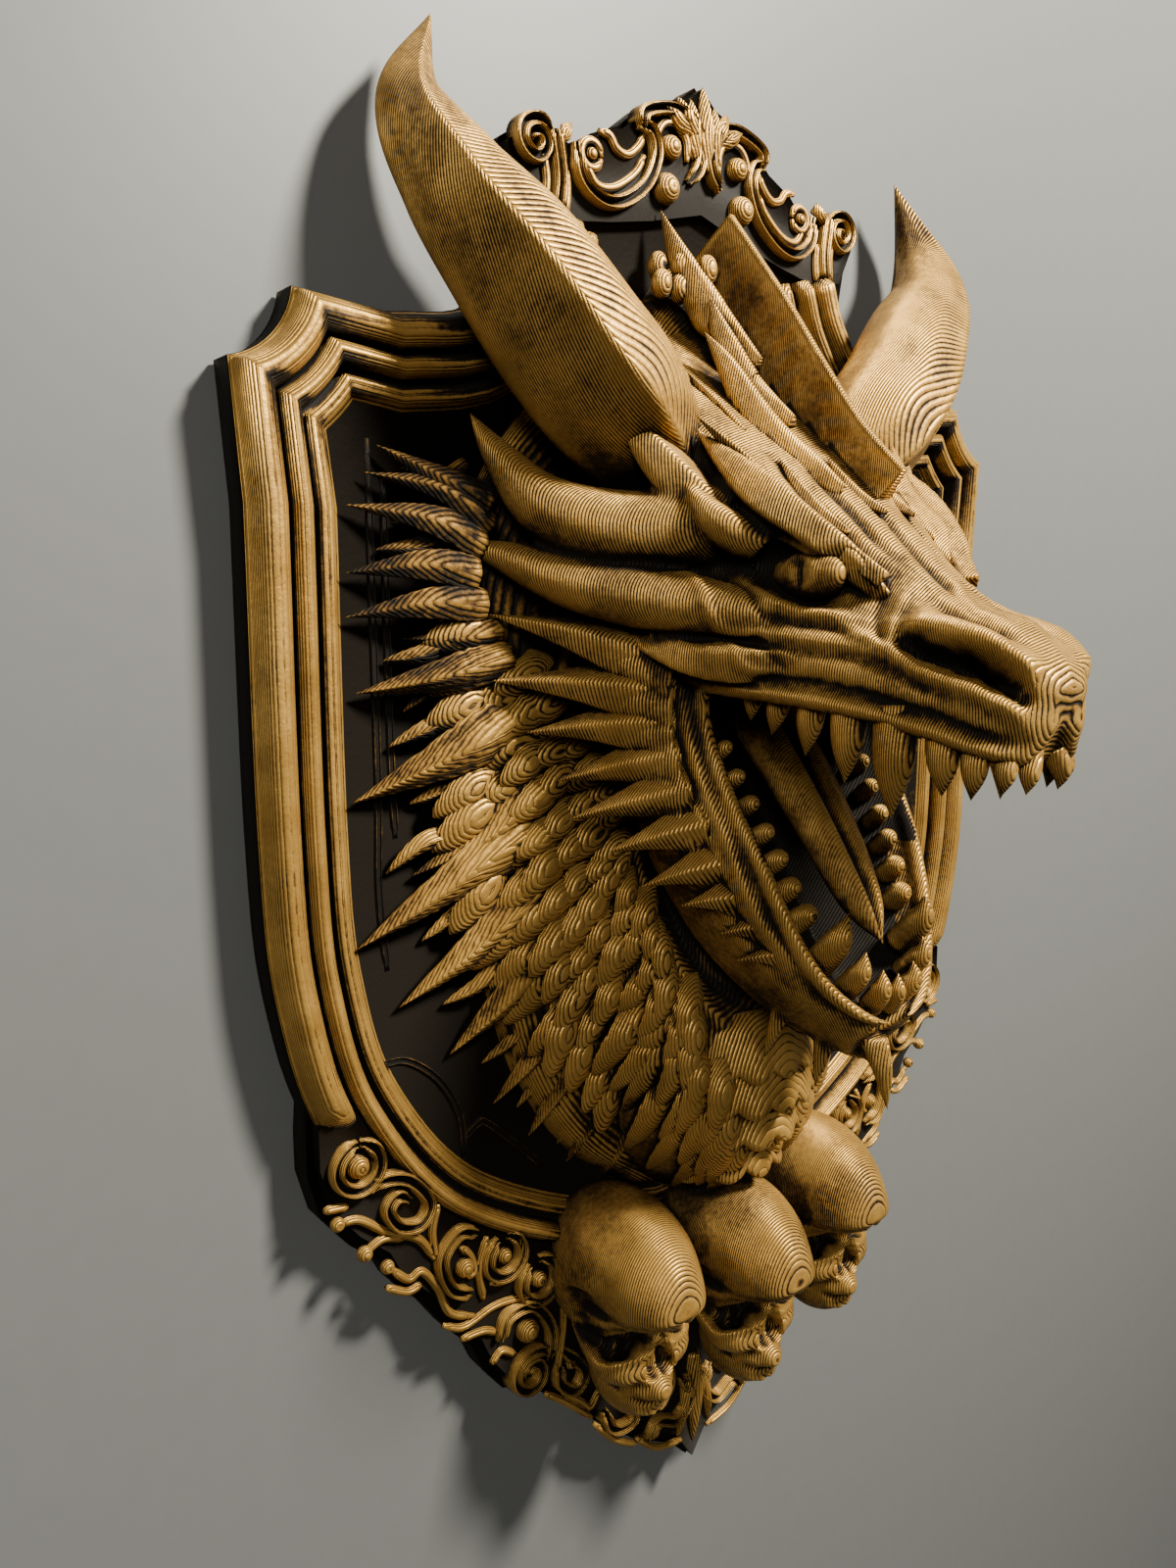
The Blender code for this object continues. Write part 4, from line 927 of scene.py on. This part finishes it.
def crest_plate():
    """The blade that stands on the forehead along X = 0, a long wedge with a thin upper edge."""
    ridge = spline([(0, 10.5, 82.4), (0, 15.6, 76), (0, 20.7, 69.5), (0, 26.2, 61.8), (0, 31.9, 54.2),
                    (0, 36, 49.8), (0, 39.6, 46.4)], 120)
    up = unit(np.array([0, 0.75, 0.66]))
    slope = np.linspace(-1, 1, 14)
    flank = np.stack([PLATE_HALF * (0.2 + 0.4 * (1 - slope)), slope], 1)
    wedge = np.vstack([flank, flank[::-1] * np.array([-1, 1])])
    half = np.full(len(ridge), PLATE_DEPTH / 2)
    return [skin(sweep(ridge - up * PLATE_DEPTH / 2, np.ones(len(ridge)), half, wedge, up))]


def rolled_rim():
    """The bead round the mouth's edge, from the upper lip's corner round to the chin."""
    path = [(-15.8, 29.6, 22), (-16.8, 24.8, 22.4), (-16.9, 22.9, 20), (-16.6, 23.2, 16), (-16.2, 25.2, 11),
            (-15.7, 27.8, 5.9), (-14.9, 30.8, 0.6), (-13.8, 33.4, -5), (-12.2, 35.4, -10),
            (-9.8, 37.4, -14.4), (-6.4, 39.4, -17.6), (-3, 40.4, -19.2), (0, 40.6, -19.6)]
    sizes = [(radius, radius) for radius in (0.9, 1.05, 1.1, 1.0, 0.9)]
    return spike(path, sizes, (0.3, 1, 0), "round", 90, 16)


def jaw():
    roots = [spike([root, root + (tip - root) * 0.3, root + (tip - root) * 0.55],
                   [(size * 1.3, size * 0.85), (size * 0.8, size * 0.5)], (0, 1, 0.3), "round")
             for root, tip, size in spine_places()]
    folds = both(roots + [rolled_rim()])
    mesh = melt("jaw", [guided(jaw_guides(), 60, 60)] + folds + chin_spikes(), HEAD_GRAIN)
    carve(mesh, [
        ([(-21, 18, 22), (-20.4, 20.6, 12), (-18.6, 24.6, 3), (-15.8, 29, -7), (-11.4, 33.6, -14.6)],
         0.8, -0.6, 2),
        ([(-18.6, 21, 21), (-18.4, 23.4, 12), (-17, 27.4, 3), (-14.8, 31.4, -6.6), (-11, 35.4, -13.6)],
         0.8, 0.4, 2),
        ([(-16, 10, 3), (-14, 14, -6), (-11.4, 20, -14), (-7.6, 27.6, -20)], 1.0, -0.5, 2),
        ([(-12, 9, 0), (-10, 14.6, -9), (-7.6, 21, -16.6), (-4.4, 29, -22)], 1.0, -0.5, 2),
    ])
    return mesh


def spine_places():
    """Root, tip and half width of each backward spine of the jaw's left side, from the hinge to the chin."""
    roots = spline([(-19, 19, 24), (-19.5, 20, 16), (-18.5, 23, 7), (-15.5, 27, -3), (-11, 32, -11)], 10)
    tips = np.array([(-37.5, 8, 30.3), (-38, 9, 22.5), (-34.5, 11, 16.2), (-31.4, 13, 10.3), (-31, 15, 5.8),
                     (-28.6, 19, 2), (-25.7, 22, -2.1), (-22.1, 25, -4.5), (-18.4, 28, -8),
                     (-17.6, 30, -11)])
    return [(root, tip, 4.6 - 0.3 * i) for i, (root, tip) in enumerate(zip(roots, tips))]


def jaw_spines():
    """The spines themselves, each a blade with a keel."""
    shells = []
    for root, tip, size in spine_places():
        middle = (root + tip) / 2 + np.array([0, 0.8, 0.4])
        sizes = [(size * 1.25, size * 0.85), (size * 0.78, size * 0.55), (size * 0.36, size * 0.3)]
        shells.append(spike([root, middle, tip], sizes, (0, 1, 0.3), "keel", 34, 26))
    return both(shells)


def chin_spikes():
    """A long spike under the chin and two shorter ones on each side of it."""
    shells = [spike([(0, 37, -23), (0, 38.6, -27), (0, 39.4, -32)], [(2.4, 2.4), (1.5, 1.5)])]
    side = [spike([(-4.5, 33, -22), (-5.5, 33, -26), (-6, 32.6, -29.5)], [(1.8, 1.8), (1.1, 1.1)]),
            spike([(-8.5, 29.5, -18), (-9.8, 29, -22), (-10.6, 28, -26)], [(1.8, 1.8), (1.1, 1.1)])]
    return shells + both(side)


def fang(root, tip, radius, bow):
    """A curved pointed tooth; bow moves its middle forwards."""
    root, tip = np.array(root, float), np.array(tip, float)
    start = root - (tip - root) * 0.1 + np.array([1.0, 0, 0])
    middle = (root + tip) / 2 + np.array([0, bow, 0])
    sizes = [(radius, radius), (radius * 0.85, radius * 0.85)]
    return spike([start, middle, tip], sizes, (1, 0, 0), "round", 26, 18)


def teeth():
    """Upper teeth by root and tip, blunt pegs along the inside of the jaw, and its curved front teeth."""
    upper = [((-14.6, 24.2, 22.3), (-14.6, 24, 20), 1.1), ((-14.6, 28.6, 21.7), (-14.2, 28.5, 17.5), 1.2),
             ((-14.2, 32.5, 21.2), (-13.8, 31.5, 16), 1.4), ((-13.6, 36.8, 20.9), (-13, 36, 13.8), 1.7),
             ((-12.6, 41.2, 20), (-12, 41, 11.1), 2.1), ((-11.2, 46.3, 18.8), (-10.8, 46.6, 7.6), 2.5),
             ((-9.4, 51.2, 17.2), (-8.8, 51.6, 10.4), 1.9), ((-8, 54.4, 16.1), (-7.6, 54.4, 10.2), 1.6),
             ((-6, 56.8, 15.3), (-5.8, 57, 10.9), 1.4), ((-3.2, 58, 15), (-3.2, 58.2, 10.8), 1.3)]
    shells = [fang(root, tip, radius, 0.4) for root, tip, radius in upper]
    rim = np.array([(-12.5, 23.7, 14.4), (-12, 25.4, 10.9), (-11.5, 27.3, 7.7), (-11, 29.4, 4.4),
                    (-10.5, 31.2, 1.3), (-10, 32.9, -2), (-9, 34.7, -5.2)])
    lean = unit(np.array([0.25, 0.75, 0.6]))
    shells += [peg(top - lean * 4.4, top, 1.15 + 0.07 * i) for i, top in enumerate(rim)]
    lower = [((-9, 34.8, -11.8), (-7.6, 38.6, -5.2), 2.0), ((-6.6, 37, -15), (-5.6, 39.8, -10), 1.6),
             ((-3.2, 38.2, -17.4), (-3, 40.4, -12.6), 1.5)]
    shells += [fang(root, tip, radius, 1.0) for root, tip, radius in lower]
    middle = fang((0, 38.6, -18), (0, 40.4, -13.6), 1.3, 0.8)
    return both(shells) + [middle]


def tongue():
    path = spline([(0, 12, 22), (0, 20, 14), (0, 28, 4), (0, 34.5, -5.5), (0, 38, -10.4)], 70)
    widths = taper([6.5, 6.0, 5.0, 3.2], 70)
    heights = taper([3.5, 3.2, 2.8, 2.2], 70)
    return [skin(sweep(path, widths, heights, section("tongue", 60), (0, 1, 0.8)))]


# Finish


def proudness(mesh):
    """How far each point stands out of the smoothed skin, in millimetres."""
    co, normal = numbers_of(mesh)
    ends = np.empty(len(mesh.edges) * 2, np.int32)
    mesh.edges.foreach_get("vertices", ends)
    a, b = ends.reshape(-1, 2).T
    n = len(co)
    share = np.maximum(np.bincount(a, minlength=n) + np.bincount(b, minlength=n), 1)
    smooth = co.astype(float)
    for _ in range(14):
        total = np.stack([np.bincount(a, smooth[b, k], n) + np.bincount(b, smooth[a, k], n)
                          for k in range(3)], 1)
        smooth = 0.4 * smooth + 0.6 * total / share[:, None]
    return ((co - smooth) * normal).sum(1) / MM


# How far off a form still darkens a place, at large and in narrow gaps, partly as unbrushed black and partly
# as painted shade, and where the gold was brushed on from, which is also where the key lamp shines from. Then
# what openness at large, openness to nearby forms, facing the brush (painted light as well as gold) and
# standing proud each add to the gold, and what the mouth's inside (painted shade) and the upper mane lose.
SKY_REACH = 0.022
NOOK_REACH = 0.0035
BRUSH_AND_KEY_FROM = unit(np.array([0.3, -0.6, 0.74]))
RAYS = 16
SKY_SHARE = 0.7
NOOK_SHARE = 0.45
BRUSH_AND_KEY_SHARE = 0.35
PROUD_SHARE = 1.6
PROUD_LIMIT = 0.3
MOUTH_SHADE = 0.9
MANE_FADE = 0.3


def keep(mesh, name, values):
    attribute = mesh.attributes.new(name, "FLOAT", "POINT")
    attribute.data.foreach_set("value", values.astype(np.float32))


def inside_mouth(points):
    """Which points lie on the mouth's inner walls, floor or palate."""
    across, depth, z = np.abs(points[:, 0]), points[:, 1], points[:, 2]
    floor, wall = (np.array(line)[::-1] for line in jaw_guides()[:2])
    below = (z > -18) & (z < 23) & (across < np.interp(z, wall[:, 2], -wall[:, 0]) + 0.3)
    below &= depth > np.interp(z, floor[:, 2], floor[:, 1]) - 2
    below &= depth < np.interp(z, wall[:, 2], wall[:, 1]) + 1
    gum = np.array(head_guides()[6])
    above = (depth > 8) & (depth < 56) & (across < np.interp(depth, gum[:, 1], -gum[:, 0]) + 0.4)
    above &= (z > 0) & (z < np.interp(depth, gum[:, 1], gum[:, 2]) + 1.2)
    return below | above


def tree_of(pieces):
    """All the pieces' faces in one search tree."""
    verts, faces = [], []
    for obj in pieces:
        mesh = obj.data
        mesh.calc_loop_triangles()
        tri = np.empty(len(mesh.loop_triangles) * 3, np.int32)
        mesh.loop_triangles.foreach_get("vertices", tri)
        faces.append(tri.reshape(-1, 3) + sum(len(v) for v in verts))
        verts.append(numbers_of(mesh)[0])
    return BVHTree.FromPolygons(np.vstack(verts).tolist(), np.vstack(faces).tolist(), epsilon=0.0)


def openness(tree, origin, normal, rays):
    """How freely rays leave each point, at large and past nearby forms, from 0 to 1."""
    sky = np.zeros(len(origin))
    nook = np.zeros(len(origin))
    weight = np.zeros(len(origin))
    for ray in rays:
        facing = normal @ ray
        use = np.flatnonzero(facing > 0.1)
        direction = Vector(ray)
        reach = np.array([tree.ray_cast(Vector(origin[i]), direction, SKY_REACH)[3] or SKY_REACH
                          for i in use])
        sky[use] += (reach / SKY_REACH) ** 0.6 * facing[use]
        nook[use] += np.minimum(reach / NOOK_REACH, 1) ** 0.7 * facing[use]
        weight[use] += facing[use]
    weight = np.maximum(weight, 1e-6)
    return sky / weight, nook / weight


def wear_and_shade_of(pieces):
    """Keeps on each mesh how much gold its points take, for the paint, with painted light and shade in the
    same number.

    Gold lies on open and proud places that face the brush, and none in recesses. The dark in recesses and in
    the mouth is partly painted shade, and the brush's side is the key lamp's side, so facing it adds painted
    light."""
    tree = tree_of(pieces)
    rays = unit(random.normal(0, 1, (RAYS, 3)))
    rays = unit(rays * 0.9 + np.array([0, -0.25, 0]))
    for obj in pieces:
        co, normal = numbers_of(obj.data)
        sky, nook = openness(tree, co + normal * 0.2 * MM, normal, rays)
        # Facing the brush adds gold and painted light, since the brush comes from the key lamp's side.
        brushed_and_lit = np.clip(0.5 + 0.5 * (normal @ BRUSH_AND_KEY_FROM), 0, 1)
        # Little openness leaves recesses and gaps black: partly unbrushed print, partly painted shade.
        gold_light_and_shade = SKY_SHARE * sky ** 1.6 + NOOK_SHARE * nook ** 1.3 + BRUSH_AND_KEY_SHARE * brushed_and_lit
        gold_light_and_shade += PROUD_SHARE * np.clip(proudness(obj.data), -PROUD_LIMIT, PROUD_LIMIT)
        # The mouth's inside is darkened as painted shade.
        if obj.name in ("head", "jaw"):
            gold_light_and_shade -= MOUTH_SHADE * inside_mouth(co * FLIP / MM)
        if obj.name in ("mane", "mane_blades", "neck"):
            side, height = np.abs(co[:, 0]) / MM, co[:, 2] / MM
            gold_light_and_shade -= MANE_FADE * np.clip((side - 26) / 12, 0, 1) * np.clip((height + 2) / 26, 0, 1)
        keep(obj.data, "gold_light_and_shade", gold_light_and_shade)


class Nodes:
    """Short ways to add shader nodes."""

    def __init__(self, material):
        self.tree = material.node_tree
        self.shader = self.tree.nodes["Principled BSDF"]

    def add(self, kind, **values):
        node = self.tree.nodes.new("ShaderNode" + kind)
        for name, value in values.items():
            setattr(node, name, value)
        return node

    def link(self, source, target):
        self.tree.links.new(source, target)

    def math(self, operation, *inputs):
        node = self.add("Math", operation=operation)
        for socket, value in zip(node.inputs, inputs):
            if isinstance(value, (int, float)):
                socket.default_value = value
            else:
                self.link(value, socket)
        return node.outputs[0]

    def ramp(self, value, low, high):
        node = self.add("MapRange", clamp=True)
        self.link(value, node.inputs["Value"])
        node.inputs["From Min"].default_value = low
        node.inputs["From Max"].default_value = high
        return node.outputs[0]

    def mix(self, amount, a, b):
        node = self.add("Mix", data_type="RGBA")
        self.link(amount, node.inputs["Factor"])
        for socket, value in ((node.inputs["A"], a), (node.inputs["B"], b)):
            if isinstance(value, tuple):
                socket.default_value = value
            else:
                self.link(value, socket)
        return node.outputs["Result"]

    def noise(self, scale, detail=4.0):
        node = self.add("TexNoise")
        node.inputs["Scale"].default_value = scale
        node.inputs["Detail"].default_value = detail
        node.inputs["Roughness"].default_value = 0.6
        self.link(self.place, node.inputs["Vector"])
        return node.outputs["Fac"]


# The gold, what it is dimmed by where it lies thin and in patches, and the bare print.
GOLD = np.array([0.74, 0.435, 0.11])
THIN = np.array([0.2, 0.17, 0.13])
PATCHY = np.array([0.6, 0.56, 0.48])
BLACK = (0.009, 0.007, 0.005, 1)

# How much large patches and fine grain in the brushing change the wear.
PATCHES = 1.5
GRAIN = 0.7


def paint(name, low, high, groove=1.05):
    """Black plastic with gold brushed over what stands proud, with painted light and shade carried in the
    gold attribute.

    low and high bound how worn and how shaded a golden place is, and groove is how bare the grooves between
    layers stay."""
    material = bpy.data.materials.new(name)
    material.use_nodes = True
    n = Nodes(material)
    n.place = n.add("TexCoord").outputs["Object"]
    split = n.add("SeparateXYZ")
    n.link(n.place, split.inputs[0])
    wobble = n.math("MULTIPLY", n.noise(700, 2), 0.12)
    layer = n.math("FRACT", n.math("ADD", n.math("MULTIPLY", split.outputs["Y"], 1 / (LAYER * MM)), wobble))
    crest = n.math("POWER", n.math("SINE", n.math("MULTIPLY", layer, math.pi)), 0.6)
    patches = n.noise(120, 6)
    grain = n.noise(1500, 3)
    # The gold attribute brings painted shade in recesses and painted light on faces toward the key lamp along
    # with the brushed gold.
    worn_and_shaded = n.add("Attribute", attribute_name="gold_light_and_shade").outputs["Fac"]
    worn_and_shaded = n.math("ADD", worn_and_shaded, n.math("MULTIPLY", n.math("SUBTRACT", patches, 0.5), PATCHES))
    worn_and_shaded = n.math("ADD", worn_and_shaded, n.math("MULTIPLY", n.math("SUBTRACT", grain, 0.5), GRAIN))
    worn_and_shaded = n.math("SUBTRACT", worn_and_shaded, n.math("MULTIPLY", n.math("SUBTRACT", 1.0, crest), groove))
    bronze = n.ramp(worn_and_shaded, low, low + 0.35)
    gilt = n.ramp(worn_and_shaded, low + 0.25, high)
    tone = n.mix(n.ramp(n.noise(190, 5), 0.3, 0.7), (*GOLD * PATCHY, 1), (*GOLD, 1))
    n.link(n.mix(gilt, n.mix(bronze, BLACK, (*GOLD * THIN, 1)), tone), n.shader.inputs["Base Color"])
    n.link(n.math("MULTIPLY", gilt, 0.7), n.shader.inputs["Metallic"])
    n.link(n.math("SUBTRACT", 0.62, n.math("MULTIPLY", gilt, 0.2)), n.shader.inputs["Roughness"])
    n.shader.inputs["Specular IOR Level"].default_value = 0.12
    bump = n.add("Bump")
    bump.inputs["Strength"].default_value = 0.9
    bump.inputs["Distance"].default_value = 0.00018
    n.link(n.math("ADD", crest, n.math("MULTIPLY", grain, 0.4)), bump.inputs["Height"])
    n.link(bump.outputs["Normal"], n.shader.inputs["Normal"])
    return material


def dress(mesh, material):
    obj = show(mesh)
    obj.data.materials.clear()
    obj.data.materials.append(material)
    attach(obj, "root")
    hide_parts("dragon_plaque")
    return obj


def build():
    bright = paint("gold_over_black", 0.78, 1.48)
    dim = paint("black_with_a_little_gold", 1.72, 2.9)
    # A darker copy of the gold paint: partly their darker paint, partly painted shade on the tongue and eyes
    # and against highlights on the mane blades.
    shaded = paint("black_and_gold_partly_painted_shade", 1.0, 1.9, 0.45)
    pieces = [
        dress(mesh_of("frame_mouldings", [frame_mouldings()]), bright),
        dress(mesh_of("shield_field", field_plate()), dim),
        dress(mesh_of("band_grounds", band_plates()), dim),
        dress(mesh_of("scrollwork", scrollwork()), bright),
        *(dress(skull(name, place), bright) for name, place in SKULLS),
        dress(neck(), bright),
        dress(mesh_of("belly_plates", belly_plates()), bright),
        dress(mesh_of("mane", both(mane())), bright),
        dress(mesh_of("mane_blades", both(blades())), shaded),
        dress(head(), bright),
        dress(eyes(), shaded),
        dress(mesh_of("crown", crown()), bright),
        dress(mesh_of("horns", horns()), bright),
        dress(mesh_of("crest_plate", crest_plate()), bright),
        dress(jaw(), bright),
        dress(mesh_of("jaw_spines", jaw_spines()), bright),
        dress(mesh_of("teeth", teeth()), bright),
        dress(mesh_of("tongue", tongue()), shaded),
    ]
    wear_and_shade_of(pieces)


# Surroundings


def wall():
    size = 1.2
    back = 0.5 * MM
    mesh = bpy.data.meshes.new("wall")
    corners = [(-size, back, -size), (size, back, -size), (size, back, size), (-size, back, size)]
    mesh.from_pydata(corners, [], [(0, 1, 2, 3)])
    obj = bpy.data.objects.new("wall", mesh)
    bpy.context.scene.collection.objects.link(obj)
    material = bpy.data.materials.new("pale_wall")
    material.use_nodes = True
    n = Nodes(material)
    n.place = n.add("TexCoord").outputs["Object"]
    tone = n.mix(n.noise(300), (0.144, 0.15, 0.148, 1), (0.156, 0.162, 0.16, 1))
    n.link(tone, n.shader.inputs["Base Color"])
    n.shader.inputs["Roughness"].default_value = 0.5
    mesh.materials.append(material)


def lamp(name, place, size, power, tint):
    """A soft round light aimed at the plaque's middle."""
    light = bpy.data.lights.new(name, "AREA")
    light.shape = "DISK"
    light.size = size
    light.energy = power
    light.color = tint
    obj = bpy.data.objects.new(name, light)
    obj.location = Vector(place)
    obj.rotation_euler = (-Vector(place)).to_track_quat("-Z", "Y").to_euler()
    bpy.context.scene.collection.objects.link(obj)


def camera():
    """The photograph's point of view."""
    data = bpy.data.cameras.new("camera")
    data.sensor_fit = "AUTO"
    data.sensor_width = 36
    data.lens = 36 * 1202 / 1600
    data.clip_start = 0.01
    obj = bpy.data.objects.new("camera", data)
    right = Vector((0.7758, -0.6309, -0.0054))
    up = Vector((0.0906, 0.103, 0.9905))
    forward = Vector((0.6244, 0.769, -0.1371))
    matrix = Matrix((right, up, -forward)).transposed().to_4x4()
    matrix.translation = Vector((-117.82, -125.25, 29.46)) * MM
    obj.matrix_world = matrix
    bpy.context.scene.collection.objects.link(obj)
    bpy.context.scene.camera = obj


def surroundings():
    world = bpy.data.worlds.new("room")
    bpy.context.scene.world = world
    world.use_nodes = True
    world.node_tree.nodes["Background"].inputs[0].default_value = (1.0, 0.98, 0.94, 1)
    world.node_tree.nodes["Background"].inputs[1].default_value = 0.07
    lamp("key", (0.18, -0.31, 0.34), 0.09, 8.0, (1.0, 0.94, 0.81))
    lamp("fill", (-0.55, -0.6, 0.35), 0.25, 3.3, (1.0, 0.96, 0.89))


build()
wall()
camera()
surroundings()
